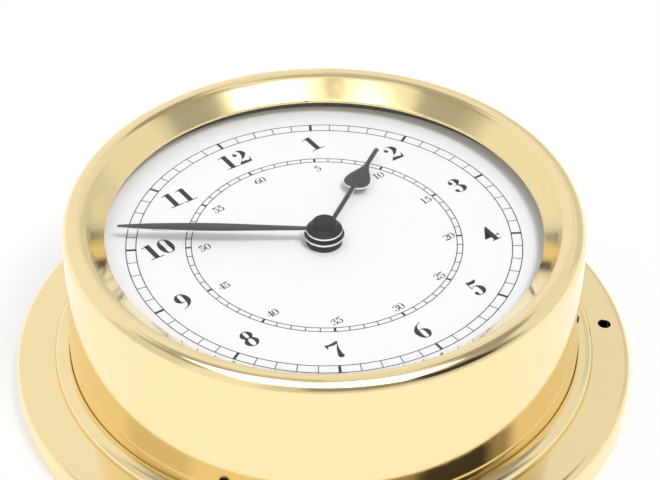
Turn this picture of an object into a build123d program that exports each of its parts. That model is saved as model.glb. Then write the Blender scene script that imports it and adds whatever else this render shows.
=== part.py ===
from build123d import *
import os
from math import cos, radians, sin

# Round brass bulkhead clock with a quartz movement, lying on its back as on a table.
# Millimetres and degrees. The origin is the centre of the flange's back, +Z points out of the dial
# and +Y points to 12 o'clock. The hands stand at about nine minutes to two.

# Fits
cut_overrun = 1.0        # how far a cut runs past the face that it opens
slide_fit = 0.1          # drum in the flange's collar
drop_fit = 0.1           # discs and rings dropped into the drum
running_fit = 0.05       # turning arbors, pipes and pivots
seat_fit = 0.02          # pieces pushed or screwed together

# Drum case: a straight tube whose front edge rolls over into the rim
case_height = 40.0
drum_radius = 51.5
drum_wall = 2.0
rim_round = 2.8
rim_wrap = 131.0         # degrees that the rim's rounding turns inwards
rim_edge = 0.17          # height of the rim's edge above the glass

# Glass, its gasket and the polished ring behind it
glass_overlap = 0.25     # how far the glass reaches under the rim
glass_thickness = 0.7
gasket_thickness = 0.3
gasket_width = 0.2
reflector_neck = 1.9     # height of the ring's neck, which stands in the glass's bore
reflector_set_back = 0.25  # of the slope's top inside the rim's edge
reflector_run = 3.37     # how far the slope runs towards the dial's centre
reflector_lip_height = 2.8
reflector_lip_edge = 0.5
reflector_foot_width = 1.6

# Dial and the sprung ring that holds it
dial_thickness = 0.8
snap_thickness = 0.8
snap_width = 2.4
snap_grip = 0.5          # how far the sprung ring reaches into the drum's wall
snap_opening = 24.0      # degrees left open in the sprung ring

# Flange
screw_land = 5.8         # flat that takes the wall screws
land_rise = 0.5          # how much the flat climbs towards the collar
edge_round = 1.9
edge_height = 4.5        # straight part of the outer edge
flange_wall = 1.6
collar_outer_round = 2.3  # from the flat up to the collar's crest
collar_inner_round = 0.9  # from the crest down to the bore
ledge_height = 3.0       # seat of the drum above the back
ledge_width = 4.75
screw_hole_radius = 1.35
screw_inset = 4.5        # from the flange's edge to the screw circle
screw_angles = (91.4, 211.4, 331.4)

# Pins that keep 12 o'clock up, and the seal between drum and collar
pin_radius = 0.9
pin_height = 1.85        # above the drum's seat
pin_reach = 1.6          # from the collar's bore into the drum's slot
pin_play = 0.15
pin_angles = (30.0, 150.0, 270.0)
seal_section = 1.0       # width and height of the seal
seal_depth = 1.3         # below the upper end of the collar's bore
seal_room = 0.1

# Hands' stack above the dial, from the nut up to the cap
nut_height = 1.3
nut_corner_radius = 3.6
hand_gap = 0.4           # between the nut and the hour hand
hour_boss_thickness = 0.5
hour_boss_radius = 4.0
hour_boss_slit = 0.4     # lets the boss grip its pipe
boss_gap = 0.7           # between the two hands' bosses
minute_boss_thickness = 0.5
minute_boss_radius = 3.6
cap_height = 1.8
cap_base_radius = 3.45
cap_skirt_edge = 0.15
cap_skirt_height = 0.9
cap_head_radius = 2.5
cap_head_round = 0.6
cap_clearance = 0.54     # between the cap and the glass
bush_radius = 2.8
hour_pipe_radius = 1.7
minute_arbor_radius = 1.0
thread_radius = 0.8
thread_engagement = 1.4  # how far the arbor's thread reaches into the cap

# Hands' blades
hand_thickness = 0.4
minute_hand_angle = 305.4  # clockwise from 12
minute_tip_gap = 2.34    # from the tip to the polished ring's lip
minute_hand_width = 2.55
minute_leaf_shares = ((0.0, 0.39), (0.27, 0.72), (0.54, 1.0), (0.78, 0.82), (0.905, 0.57))  # length, width
minute_tip_share = 0.31
hour_hand_angle = 55.45   # clockwise from 12
hour_hand_reach = 30.3
hour_stem_width = 1.0
pear_start = 16.1        # distances of the pear-shaped swelling from the dial's centre
pear_widest = 18.3
pear_end = 24.8
pear_width = 5.3

# Movement's box
washer_thickness = 0.8
washer_radius = 6.5
front_plate = 1.6
shell_wall = 1.5
shell_corner = 3.0
cover_thickness = 1.5
bay_wall = 1.0           # between the battery and the wheels
chamber_room = 2.0       # between the minute wheel and that wall
chamber_headroom = 5.9   # above the stator
post_radius = 2.2
post_inset = 2.4         # from the box's inner walls to a post's centre
cover_screw_radius = 0.8
cover_screw_depth = 5.0
screw_head_radius = 1.5
screw_head_height = 0.8

# Battery and its contacts
battery_radius = 7.25
battery_body = 49.2
battery_room = 0.3
nub_radius = 2.75
nub_length = 1.3
contact_thickness = 0.4
contact_width = 9.0
contact_height = 10.0
spring_length = 1.7
spring_base_radius = 4.0
spring_tip_radius = 2.2

# Wheels: a layer is one wheel and the pinion that drives it
wheel_thickness = 0.6
pinion_width = 1.0
layer_gap = 0.7
end_gap = 0.6            # between a wheel and the plate beside it
train_plate_thickness = 1.0
plate_margin = 3.0
pillar_radius = 1.5
arbor_radius = 0.4
pivot_radius = 0.25
pivot_length = 0.7
arbor_play = 0.1         # endshake of an arbor between its plates
stem_radius = 0.45       # minute arbor below the centre wheel
clutch_radius = 1.5      # shoulder that carries the centre wheel
clutch_thickness = 0.4
hub_radius = 1.6
train_module = 0.25
hour_module = 0.30
addendum_share = 0.80    # tooth proportions: heights in modules, widths in tooth pitches
dedendum_share = 1.15
tip_half_share = 0.10
root_half_share = 0.26

# Teeth
cannon_teeth = 12
minute_wheel_teeth = 36
minute_pinion_teeth = 10
hour_wheel_teeth = 40
knob_teeth = 12
centre_wheel_teeth = 48
third_pinion_teeth = 6
third_wheel_teeth = 45
seconds_pinion_teeth = 6
seconds_wheel_teeth = 40
intermediate_pinion_teeth = 8
intermediate_wheel_teeth = 36
rotor_teeth = 6

# Bearings from each wheel to the next, anticlockwise from +X
minute_wheel_bearing = -20.0
knob_bearing = 45.0
third_bearing = 60.0
seconds_bearing = 150.0
intermediate_bearing = 130.0
rotor_bearing = 230.0

# Setting knob behind the movement
knob_radius = 5.0
knob_height = 2.4
knob_gap = 0.6
knob_grips = 30
knob_shaft_radius = 0.9

# Stepping motor and electronics
magnet_radius = 2.5
magnet_thickness = 2.0
magnet_gap = 0.4         # round what turns in the stator, and under the wheel above it
magnet_floor = 1.2       # between the magnet and the back cover
stator_thickness = 1.0
stator_half_width = 4.6
stator_arm = 3.0
core_width = 2.4
coil_length = 16.0
coil_radius = 2.9
bobbin_flange = 1.0
bobbin_wall = 0.7
coil_gap = 0.5           # between the coil and the stator's bar
stud_radius = 1.2
board_length = 18.0
board_width = 8.0
board_thickness = 1.0
board_stand = 1.0        # height of the board above the back cover
board_end_gap = 0.9      # between the board and the post beside it
board_edge_gap = 2.0     # from the box's inner wall to the board
chip_radius = 2.2
chip_height = 0.8
crystal_radius = 1.0
crystal_length = 6.2

UPRIGHT = (Align.CENTER, Align.CENTER, Align.MIN)
LOW_CORNER = (Align.MIN, Align.MIN, Align.MIN)


def polar(radius, angle):
    """Point at an angle from +X in the plane of the dial."""
    return Vector(radius * cos(radians(angle)), radius * sin(radians(angle)))


def centre_distance(module, teeth, other_teeth):
    """Distance between the arbors of two gears in mesh."""
    return module * (teeth + other_teeth) / 2


def meshed(tooth_at, teeth, other_teeth, bearing):
    """Angle of a tooth on a gear that meshes with one whose tooth stands at tooth_at."""
    pitch = 360 / teeth
    offset = (tooth_at - bearing + pitch / 2) % pitch - pitch / 2
    return bearing + 180 - offset * teeth / other_teeth + 180 / other_teeth


# Radii worked out from the driving dimensions
drum_bore = drum_radius - drum_wall
rim_centre_radius = drum_radius - rim_round
lip_radius = rim_centre_radius + rim_round * cos(radians(rim_wrap))
glass_bore = lip_radius + glass_overlap
reflector_top_radius = lip_radius - reflector_set_back
reflector_lip_radius = reflector_top_radius - reflector_run
minute_hand_reach = reflector_lip_radius - minute_tip_gap
collar_bore = drum_radius + slide_fit
collar_crest_radius = collar_bore + collar_inner_round
collar_foot_radius = collar_crest_radius + collar_outer_round
land_outer_radius = collar_foot_radius + screw_land
flange_radius = land_outer_radius + edge_round
screw_circle_radius = flange_radius - screw_inset
seal_radius = collar_bore - running_fit
seal_groove_radius = seal_radius - seal_section - seal_room

# Heights above the back, from the rim down to the dial
rim_centre_height = case_height - rim_round
lip_height = rim_centre_height + rim_round * sin(radians(rim_wrap))
glass_top = lip_height - rim_edge
glass_back = glass_top - glass_thickness
reflector_top = glass_back - drop_fit
gasket_floor = glass_back - gasket_thickness
reflector_shoulder = gasket_floor - reflector_neck
cap_top = glass_back - cap_clearance
cap_base = cap_top - cap_height
minute_boss_base = cap_base - minute_boss_thickness
hour_boss_top = minute_boss_base - boss_gap
hour_boss_base = hour_boss_top - hour_boss_thickness
nut_top = hour_boss_base - hand_gap
dial_face = nut_top - nut_height
dial_back = dial_face - dial_thickness
snap_back = dial_back - snap_thickness

# Heights of the flange
land_outer_height = edge_height + edge_round
land_inner_height = land_outer_height + land_rise
collar_top = land_inner_height + collar_outer_round
collar_bore_top = collar_top - collar_inner_round
seal_height = collar_bore_top - seal_depth
pin_level = ledge_height + pin_height

# Heights inside the movement, from its front down to its back
shell_front = dial_back - washer_thickness
plate_inside = shell_front - front_plate
layer = wheel_thickness + layer_gap
hour_level = plate_inside - end_gap - wheel_thickness / 2
cannon_level = hour_level - layer
train_plate_top = cannon_level - wheel_thickness / 2 - end_gap
train_plate_back = train_plate_top - train_plate_thickness
centre_level = train_plate_back - end_gap - wheel_thickness / 2
third_level = centre_level - layer
seconds_level = third_level - layer
intermediate_level = seconds_level - layer
magnet_top = intermediate_level - pinion_width / 2 - magnet_gap
magnet_back = magnet_top - magnet_thickness
stator_back = magnet_top - (magnet_thickness + stator_thickness) / 2
stator_top = stator_back + stator_thickness
core_middle = stator_top + stator_thickness / 2
cover_inside = magnet_back - magnet_floor
cover_back = cover_inside - cover_thickness
board_back = cover_inside + board_stand
board_top = board_back + board_thickness
battery_level = plate_inside - battery_room - battery_radius
knob_top = cover_back - knob_gap

# Plan of the movement
shell_inside = (battery_body + nub_length + spring_length) / 2 + contact_thickness
shell_half = shell_inside + shell_wall
post_line = shell_inside - post_inset

cannon_module = hour_module * (minute_pinion_teeth + hour_wheel_teeth) / (cannon_teeth + minute_wheel_teeth)
centre_at = Vector(0, 0)
minute_wheel_at = polar(
    centre_distance(cannon_module, cannon_teeth, minute_wheel_teeth), minute_wheel_bearing)
knob_at = minute_wheel_at + polar(
    centre_distance(cannon_module, minute_wheel_teeth, knob_teeth), knob_bearing)
third_at = polar(centre_distance(train_module, centre_wheel_teeth, third_pinion_teeth), third_bearing)
seconds_at = third_at + polar(
    centre_distance(train_module, third_wheel_teeth, seconds_pinion_teeth), seconds_bearing)
intermediate_at = seconds_at + polar(
    centre_distance(train_module, seconds_wheel_teeth, intermediate_pinion_teeth), intermediate_bearing)
rotor_at = intermediate_at + polar(
    centre_distance(train_module, intermediate_wheel_teeth, rotor_teeth), rotor_bearing)
train_arbors = [third_at, seconds_at, intermediate_at, rotor_at]

coil_line = rotor_at.X - stator_half_width - coil_gap - coil_radius
coil_end = coil_length / 2
stator_end = coil_end + stator_arm
minute_wheel_tip = cannon_module * (minute_wheel_teeth / 2 + addendum_share)
chamber_low = minute_wheel_at.Y - minute_wheel_tip - chamber_room
chamber_high = rotor_at.Y + stator_end + chamber_headroom
bay_high = chamber_low - bay_wall
battery_line = bay_high - battery_room - battery_radius
bay_low = battery_line - battery_radius - battery_room
post_places = [(x, y) for x in (-post_line, post_line)
               for y in (chamber_low + post_inset, chamber_high - post_inset)]
plate_low = (rotor_at.X - plate_margin, chamber_low + plate_margin - pillar_radius)
plate_high = (knob_at.X + plate_margin, intermediate_at.Y + plate_margin)
pillar_places = [(x, y) for x in (plate_low[0] + pillar_radius, plate_high[0] - pillar_radius)
                 for y in (plate_low[1] + pillar_radius, plate_high[1] - pillar_radius)]
board_low = (
    post_line - post_radius - board_end_gap - board_length, chamber_high - board_edge_gap - board_width)

# Teeth in mesh: the cannon pinion and the centre wheel each have a tooth on +X
minute_wheel_tooth = meshed(0, cannon_teeth, minute_wheel_teeth, minute_wheel_bearing)
hour_wheel_tooth = meshed(0, minute_pinion_teeth, hour_wheel_teeth, minute_wheel_bearing + 180)
knob_tooth = meshed(minute_wheel_tooth, minute_wheel_teeth, knob_teeth, knob_bearing)
third_tooth = meshed(0, centre_wheel_teeth, third_pinion_teeth, third_bearing)
seconds_tooth = meshed(third_tooth, third_wheel_teeth, seconds_pinion_teeth, seconds_bearing)
intermediate_tooth = meshed(
    seconds_tooth, seconds_wheel_teeth, intermediate_pinion_teeth, intermediate_bearing)
rotor_tooth = meshed(intermediate_tooth, intermediate_wheel_teeth, rotor_teeth, rotor_bearing)


def outline(start, *steps):
    """Closed face of lines and arcs: a step is a corner, or a point on an arc and the arc's end."""
    edges = []
    here = start
    for step in steps + (start,):
        if isinstance(step[0], tuple):
            passing, end = step
            edges.append(ThreePointArc(here, passing, end))
        else:
            end = step
            edges.append(Line(here, end))
        here = end
    return make_face(edges)


def quarter(centre, across, up):
    """Middle of a quarter round about a centre, with a width and a height."""
    half_turn = radians(45)
    return (centre[0] + across * cos(half_turn), centre[1] + up * sin(half_turn))


def turned(profile, arc=360):
    """Solid turned about the clock's axis from a profile of radius and height."""
    return revolve(Plane.XZ * profile, Axis.Z, arc)


def rod(radius, low, high, at=(0, 0)):
    """Upright cylinder between two heights."""
    return Pos(Vector(at) + Vector(0, 0, low)) * Cylinder(radius, high - low, align=UPRIGHT)


def pipe(radius, bore, low, high, at=(0, 0)):
    """Upright tube, ring or drilled disc."""
    return rod(radius, low, high, at) - rod(bore, low - cut_overrun, high + cut_overrun, at)


def block(low, high):
    """Box between its lowest and highest corners."""
    sizes = [top - bottom for bottom, top in zip(low, high)]
    return Pos(*low) * Box(*sizes, align=LOW_CORNER)


def spoke(radius, inner, outer, height, angle):
    """Cylinder that lies along a radius of the clock."""
    lying = Rot(0, 90, 0) * Cylinder(radius, outer - inner, align=UPRIGHT)
    return Rot(0, 0, angle) * Pos(inner, 0, height) * lying


def bar(radius, left, right, y, height):
    """Cylinder that lies along X."""
    return Pos(left, y, height) * Rot(0, 90, 0) * Cylinder(radius, right - left, align=UPRIGHT)


def gear(teeth, module, tooth_at, level, width, at=centre_at):
    """Spur gear with straight-flanked teeth, one of them centred on the angle tooth_at."""
    pitch = 360 / teeth
    root = module * (teeth / 2 - dedendum_share)
    tip = module * (teeth / 2 + addendum_share)
    flanks = (
        (root, -root_half_share), (tip, -tip_half_share), (tip, tip_half_share), (root, root_half_share))
    corners = []
    for tooth in range(teeth):
        for radius, share in flanks:
            corners.append(polar(radius, tooth_at + (tooth + share) * pitch))
    face = make_face(Polyline(*corners, close=True))
    return Pos(at.X, at.Y, level - width / 2) * extrude(face, width)


def arbor(at, low_plate, high_plate, radius=arbor_radius):
    """Turning arbor between two plates, with a pivot in each."""
    body = rod(radius, low_plate + arbor_play, high_plate - arbor_play, at)
    return body + rod(pivot_radius, low_plate - pivot_length, high_plate + pivot_length, at)


def pivot_hole(at, low, high):
    """Cut for a pivot."""
    return rod(pivot_radius + running_fit, low, high, at)


def flange_ring():
    """Spun wall flange with a rounded edge, a rounded collar and a seat for the drum."""
    inner_wall = collar_bore + flange_wall
    edge_middle = quarter((land_outer_radius, edge_height), edge_round, edge_round)
    outer_middle = quarter((collar_crest_radius, land_inner_height), collar_outer_round, collar_outer_round)
    inner_middle = quarter((collar_crest_radius, collar_bore_top), -collar_inner_round, collar_inner_round)
    ring = turned(outline(
        (flange_radius, 0),
        (flange_radius, edge_height),
        (edge_middle, (land_outer_radius, land_outer_height)),
        (collar_foot_radius, land_inner_height),
        (outer_middle, (collar_crest_radius, collar_top)),
        (inner_middle, (collar_bore, collar_bore_top)),
        (collar_bore, ledge_height),
        (collar_bore - ledge_width, ledge_height),
        (collar_bore - ledge_width, ledge_height - flange_wall),
        (inner_wall, ledge_height - flange_wall),
        (inner_wall, land_outer_height - flange_wall),
        (flange_radius - flange_wall, land_outer_height - flange_wall),
        (flange_radius - flange_wall, 0)))
    for angle in screw_angles:
        ring -= rod(screw_hole_radius, 0, collar_top, polar(screw_circle_radius, angle))
    for angle in pin_angles:
        ring -= spoke(
            pin_radius + seat_fit, collar_bore - cut_overrun, inner_wall + cut_overrun, pin_level, angle)
    return ring


def locating_pins():
    """Pins in the collar that stand in the drum's slots."""
    inner, outer = collar_bore - pin_reach, collar_bore + flange_wall
    return Part() + [spoke(pin_radius, inner, outer, pin_level, angle) for angle in pin_angles]


def drum_case():
    """Brass drum with the rim, the glass's seat, the sprung ring's groove and the pins' slots."""
    middle = radians(rim_wrap / 2)
    rim_middle = (rim_centre_radius + rim_round * cos(middle), rim_centre_height + rim_round * sin(middle))
    groove_half = seal_section / 2 + seal_room
    drum = turned(outline(
        (drum_radius, ledge_height),
        (drum_radius, seal_height - groove_half),
        (seal_groove_radius, seal_height - groove_half),
        (seal_groove_radius, seal_height + groove_half),
        (drum_radius, seal_height + groove_half),
        (drum_radius, rim_centre_height),
        (rim_middle, (lip_radius, lip_height)),
        (lip_radius, glass_top),
        (glass_bore, glass_top),
        (glass_bore, reflector_shoulder),
        (drum_bore, reflector_shoulder),
        (drum_bore, dial_back),
        (drum_bore + snap_grip + drop_fit, dial_back),
        (drum_bore + snap_grip + drop_fit, snap_back - drop_fit),
        (drum_bore, snap_back - drop_fit),
        (drum_bore, ledge_height)))
    slot_half = pin_radius + pin_play
    inner, outer = drum_bore - cut_overrun, drum_radius + cut_overrun
    for angle in pin_angles:
        mouth = block((inner, -slot_half, ledge_height - cut_overrun), (outer, slot_half, pin_level))
        drum -= Rot(0, 0, angle) * mouth
        drum -= spoke(slot_half, inner, outer, pin_level, angle)
    return drum


def seal_ring():
    """Square-sectioned rubber ring in the drum's groove, inside the collar."""
    half = seal_section / 2
    return pipe(seal_radius, seal_radius - seal_section, seal_height - half, seal_height + half)


def glass():
    """Flat front glass."""
    return rod(glass_bore - drop_fit, glass_back, glass_top)


def glass_gasket():
    """Thin gasket between the glass and the step round the polished ring's top."""
    return pipe(glass_bore - drop_fit, glass_bore - drop_fit - gasket_width, gasket_floor, glass_back)


def reflector_ring():
    """Polished ring whose slope leads from the glass down to the dial."""
    outer = drum_bore - drop_fit
    neck = glass_bore - drop_fit
    step = neck - gasket_width - drop_fit
    lip = dial_face + reflector_lip_height
    return turned(outline(
        (reflector_top_radius, reflector_top),
        (reflector_lip_radius, lip),
        (reflector_lip_radius, lip - reflector_lip_edge),
        (outer - reflector_foot_width, lip - reflector_lip_edge),
        (outer - reflector_foot_width, dial_face),
        (outer, dial_face),
        (outer, reflector_shoulder),
        (neck, reflector_shoulder),
        (neck, gasket_floor),
        (step, gasket_floor),
        (step, reflector_top)))


def dial():
    """Round dial plate with a hole for the movement's bush."""
    return pipe(drum_bore - drop_fit, bush_radius + drop_fit, dial_back, dial_face)


def dial_snap_ring():
    """Open sprung ring that holds the dial against the polished ring."""
    outer = drum_bore + snap_grip
    inner = outer - snap_width
    profile = outline((inner, snap_back), (outer, snap_back), (outer, dial_back), (inner, dial_back))
    return Rot(0, 0, snap_opening / 2 - 90) * turned(profile, 360 - snap_opening)


def rubber_washer():
    """Washer between the movement and the dial's back."""
    return pipe(washer_radius, bush_radius + drop_fit, shell_front, dial_back)


def centre_nut():
    """Hexagonal nut that clamps the dial to the movement."""
    hexagon = Pos(0, 0, dial_face) * extrude(RegularPolygon(nut_corner_radius, 6), nut_height)
    return hexagon - rod(bush_radius + seat_fit, dial_face - cut_overrun, nut_top + cut_overrun)


def movement_front():
    """Moulded front of the movement: a shell with the battery's bay, screw posts and the threaded bush."""
    shell = block(
        (-shell_half, bay_low - shell_wall, cover_inside),
        (shell_half, chamber_high + shell_wall, shell_front))
    shell = fillet(shell.edges().filter_by(Axis.Z), shell_corner)
    below = cover_inside - cut_overrun
    shell -= block((-shell_inside, chamber_low, below), (shell_inside, chamber_high, plate_inside))
    shell -= block((-shell_inside, bay_low, below), (shell_inside, bay_high, plate_inside))
    for place in post_places:
        shell += rod(post_radius, cover_inside, plate_inside, place)
        shell -= rod(cover_screw_radius + seat_fit, below, cover_inside + cover_screw_depth, place)
    shell += rod(bush_radius, shell_front, nut_top)
    shell -= rod(hour_pipe_radius + running_fit, plate_inside - cut_overrun, nut_top + cut_overrun)
    hole_top = plate_inside + pivot_length + arbor_play
    return shell - pivot_hole(minute_wheel_at, plate_inside - cut_overrun, hole_top)


def movement_back():
    """Back cover with its pillars, studs and pivot holes."""
    cover = block(
        (-shell_half, bay_high, cover_back), (shell_half, chamber_high + shell_wall, cover_inside))
    cover = fillet(cover.edges().filter_by(Axis.Z).sort_by(Axis.Y)[-2:], shell_corner)
    for x in (plate_low[0] + pillar_radius, plate_high[0] - pillar_radius):
        cover += rod(pillar_radius, cover_inside, train_plate_back, (x, plate_low[1] + pillar_radius))
    arm_middle = stator_end - stator_arm / 2
    for reach in (-arm_middle, arm_middle):
        cover += rod(stud_radius, cover_inside, stator_back, (rotor_at.X, rotor_at.Y + reach))
    for x in (board_low[0] + stud_radius, board_low[0] + board_length - stud_radius):
        cover += rod(stud_radius, cover_inside, board_back, (x, board_low[1] + board_width / 2))
    low, high = cover_back - cut_overrun, cover_inside + cut_overrun
    for place in post_places:
        cover -= rod(cover_screw_radius + drop_fit, low, high, place)
        cover -= rod(screw_head_radius + drop_fit, low, cover_back + screw_head_height, place)
    cover -= rod(knob_shaft_radius + running_fit, low, high, knob_at)
    for place in train_arbors + [centre_at]:
        cover -= pivot_hole(place, cover_inside - pivot_length - arbor_play, high)
    return cover


def cover_screws():
    """Screws that hold the back cover to the shell's posts."""
    head_top = cover_back + screw_head_height
    shank_top = cover_inside + cover_screw_depth - arbor_play
    screws = []
    for place in post_places:
        head = rod(screw_head_radius, cover_back, head_top, place)
        screws.append(head + rod(cover_screw_radius, cover_back, shank_top, place))
    return Part() + screws


def train_plate():
    """Middle plate on four pillars, between the hands' wheels and the motor's wheels."""
    plate = block((*plate_low, train_plate_back), (*plate_high, train_plate_top))
    for place in pillar_places:
        plate += rod(pillar_radius, train_plate_top, plate_inside, place)
    low, high = train_plate_back - cut_overrun, train_plate_top + cut_overrun
    plate -= rod(minute_arbor_radius + running_fit, low, high)
    plate -= rod(knob_shaft_radius + running_fit, low, high, knob_at)
    for place in train_arbors + [minute_wheel_at]:
        plate -= pivot_hole(place, low, high)
    return plate


def minute_arbor():
    """Centre arbor with the cannon pinion, the centre wheel's shoulder and the cap's thread."""
    shoulder_top = centre_level - wheel_thickness / 2 - running_fit
    shoulder_back = shoulder_top - clutch_thickness
    body = rod(minute_arbor_radius, shoulder_back, minute_boss_base)
    body += rod(clutch_radius, shoulder_back, shoulder_top)
    body += rod(stem_radius, cover_inside + arbor_play, shoulder_back)
    body += rod(pivot_radius, cover_inside - pivot_length, shoulder_back)
    body += gear(cannon_teeth, cannon_module, 0, cannon_level, pinion_width)
    return body + rod(thread_radius, minute_boss_base, cap_base + thread_engagement)


def centre_wheel():
    """Wheel that drives the centre arbor through its friction shoulder."""
    wheel = gear(centre_wheel_teeth, train_module, 0, centre_level, wheel_thickness)
    low = centre_level - wheel_thickness / 2
    wheel += rod(hub_radius, low, train_plate_back - arbor_play)
    return wheel - rod(minute_arbor_radius + running_fit, low - cut_overrun, train_plate_back + cut_overrun)


def hour_wheel():
    """Hour wheel with the pipe that carries the hour hand."""
    low = hour_level - wheel_thickness / 2
    wheel = gear(hour_wheel_teeth, hour_module, hour_wheel_tooth, hour_level, wheel_thickness)
    wheel += rod(hour_pipe_radius, low, hour_boss_top)
    return wheel - rod(minute_arbor_radius + running_fit, low - cut_overrun, hour_boss_top + cut_overrun)


def minute_wheel():
    """Wheel and pinion between the centre arbor and the hour wheel."""
    wheel = arbor(minute_wheel_at, train_plate_top, plate_inside)
    wheel += gear(
        minute_wheel_teeth, cannon_module, minute_wheel_tooth, cannon_level, wheel_thickness,
        minute_wheel_at)
    return wheel + gear(minute_pinion_teeth, hour_module, 0, hour_level, pinion_width, minute_wheel_at)


def setting_knob():
    """Knob behind the movement, with the shaft and pinion that turn the hands."""
    knob_back = knob_top - knob_height
    grip_module = 2 * knob_radius / knob_grips
    knob = gear(knob_grips, grip_module, 0, knob_top - knob_height / 2, knob_height, knob_at)
    knob += rod(knob_shaft_radius, knob_back, cannon_level, knob_at)
    return knob + gear(knob_teeth, cannon_module, knob_tooth, cannon_level, pinion_width, knob_at)


def train_wheel(at, tooth, wheel_teeth, wheel_level, pinion_teeth, pinion_level):
    """Arbor of the motor's train, with a wheel and a pinion."""
    turning = arbor(at, cover_inside, train_plate_back)
    turning += gear(wheel_teeth, train_module, tooth, wheel_level, wheel_thickness, at)
    return turning + gear(pinion_teeth, train_module, tooth, pinion_level, pinion_width, at)


def third_wheel():
    """Wheel that drives the centre wheel."""
    return train_wheel(
        third_at, third_tooth, third_wheel_teeth, third_level, third_pinion_teeth, centre_level)


def seconds_wheel():
    """Wheel that turns once a minute."""
    return train_wheel(
        seconds_at, seconds_tooth, seconds_wheel_teeth, seconds_level, seconds_pinion_teeth, third_level)


def intermediate_wheel():
    """First wheel after the rotor."""
    return train_wheel(
        intermediate_at, intermediate_tooth, intermediate_wheel_teeth, intermediate_level,
        intermediate_pinion_teeth, seconds_level)


def rotor():
    """Stepping rotor: a magnet and a pinion on one arbor."""
    turning = arbor(rotor_at, cover_inside, train_plate_back)
    turning += rod(magnet_radius, magnet_back, magnet_top, rotor_at)
    return turning + gear(
        rotor_teeth, train_module, rotor_tooth, intermediate_level, pinion_width, rotor_at)


def stator():
    """Iron yoke round the rotor, with two arms to the coil's core."""
    low = (coil_line - core_width / 2, rotor_at.Y - stator_end, stator_back)
    high = (rotor_at.X + stator_half_width, rotor_at.Y + stator_end, stator_top)
    yoke = block(low, high)
    window_low = (low[0] - cut_overrun, rotor_at.Y - coil_end, stator_back - cut_overrun)
    window_high = (rotor_at.X - stator_half_width, rotor_at.Y + coil_end, stator_top + cut_overrun)
    yoke -= block(window_low, window_high)
    for radius, place in ((magnet_radius, rotor_at), (arbor_radius, intermediate_at)):
        yoke -= rod(radius + magnet_gap, stator_back - cut_overrun, stator_top + cut_overrun, place)
    return yoke


def coil_core():
    """Iron bar through the coil, lying on the stator's arms."""
    half = core_width / 2
    return block(
        (coil_line - half, rotor_at.Y - stator_end, stator_top),
        (coil_line + half, rotor_at.Y + stator_end, stator_top + stator_thickness))


def along_coil(radius, start, end):
    """Cylinder along the coil's axis, between two places measured from its middle."""
    lying = Rot(-90, 0, 0) * Cylinder(radius, end - start, align=UPRIGHT)
    return Pos(coil_line, rotor_at.Y + start, core_middle) * lying


def core_slot():
    """Room for the coil's core, right through the bobbin."""
    half_width = core_width / 2 + seat_fit
    half_height = stator_thickness / 2 + seat_fit
    reach = coil_end + cut_overrun
    return block(
        (coil_line - half_width, rotor_at.Y - reach, core_middle - half_height),
        (coil_line + half_width, rotor_at.Y + reach, core_middle + half_height))


def coil_bobbin():
    """Moulded spool with a flange at each end."""
    spool = along_coil(core_width / 2 + bobbin_wall, bobbin_flange - coil_end, coil_end - bobbin_flange)
    spool += along_coil(coil_radius, -coil_end, bobbin_flange - coil_end)
    spool += along_coil(coil_radius, coil_end - bobbin_flange, coil_end)
    return spool - core_slot()


def coil_winding():
    """Copper winding between the bobbin's flanges, as one sleeve."""
    reach = coil_end - bobbin_flange - seat_fit
    sleeve = along_coil(coil_radius - drop_fit, -reach, reach)
    return sleeve - along_coil(core_width / 2 + bobbin_wall + seat_fit, -coil_end, coil_end)


def circuit_board():
    """Small board with the clock chip under its cap of resin."""
    board = block(
        (*board_low, board_back), (board_low[0] + board_length, board_low[1] + board_width, board_top))
    chip_at = (board_low[0] + board_length / 4, board_low[1] + board_width / 2)
    return board + rod(chip_radius, board_top, board_top + chip_height, chip_at)


def quartz_crystal():
    """Crystal's can, lying on the board."""
    left = board_low[0] + board_length / 2
    return bar(
        crystal_radius, left, left + crystal_length, board_low[1] + board_width / 2,
        board_top + crystal_radius + seat_fit)


def battery():
    """Single cell, with its positive end to the right."""
    left = spring_length + contact_thickness - shell_inside
    body = bar(battery_radius, left, left + battery_body, battery_line, battery_level)
    return body + bar(nub_radius, left, left + battery_body + nub_length, battery_line, battery_level)


def contact_plate(left):
    """Flat contact at one end of the battery's bay."""
    half_width, half_height = contact_width / 2, contact_height / 2
    return block(
        (left, battery_line - half_width, battery_level - half_height),
        (left + contact_thickness, battery_line + half_width, battery_level + half_height))


def contact_plus():
    """Contact at the battery's nub."""
    return contact_plate(shell_inside - contact_thickness)


def contact_minus():
    """Contact with a conical spring, as one solid cone."""
    cone = Rot(0, 90, 0) * Cone(spring_base_radius, spring_tip_radius, spring_length, align=UPRIGHT)
    seat = contact_thickness - shell_inside
    return contact_plate(-shell_inside) + Pos(seat, battery_line, battery_level) * cone


def hand(right_side, tip_half, tip_at, turn, boss, boss_base, bore):
    """Hand whose blade mirrors its right side, on a drilled boss, turned clockwise from 12."""
    tip = ThreePointArc((tip_half, tip_at), (0, tip_at + tip_half), (-tip_half, tip_at))
    left_side = mirror(right_side, Plane.YZ)
    start = right_side.edges().sort_by(Axis.Y)[0].vertices().sort_by(Axis.Y)[0].X
    base = Line((start, 0), (-start, 0))
    face = make_face([*right_side.edges(), tip, *left_side.edges(), base])
    blade = Pos(0, 0, boss_base) * extrude(face, hand_thickness)
    drill = rod(bore, boss_base - cut_overrun, cap_top)
    return Rot(0, 0, -turn) * (blade + boss - drill)


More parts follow.
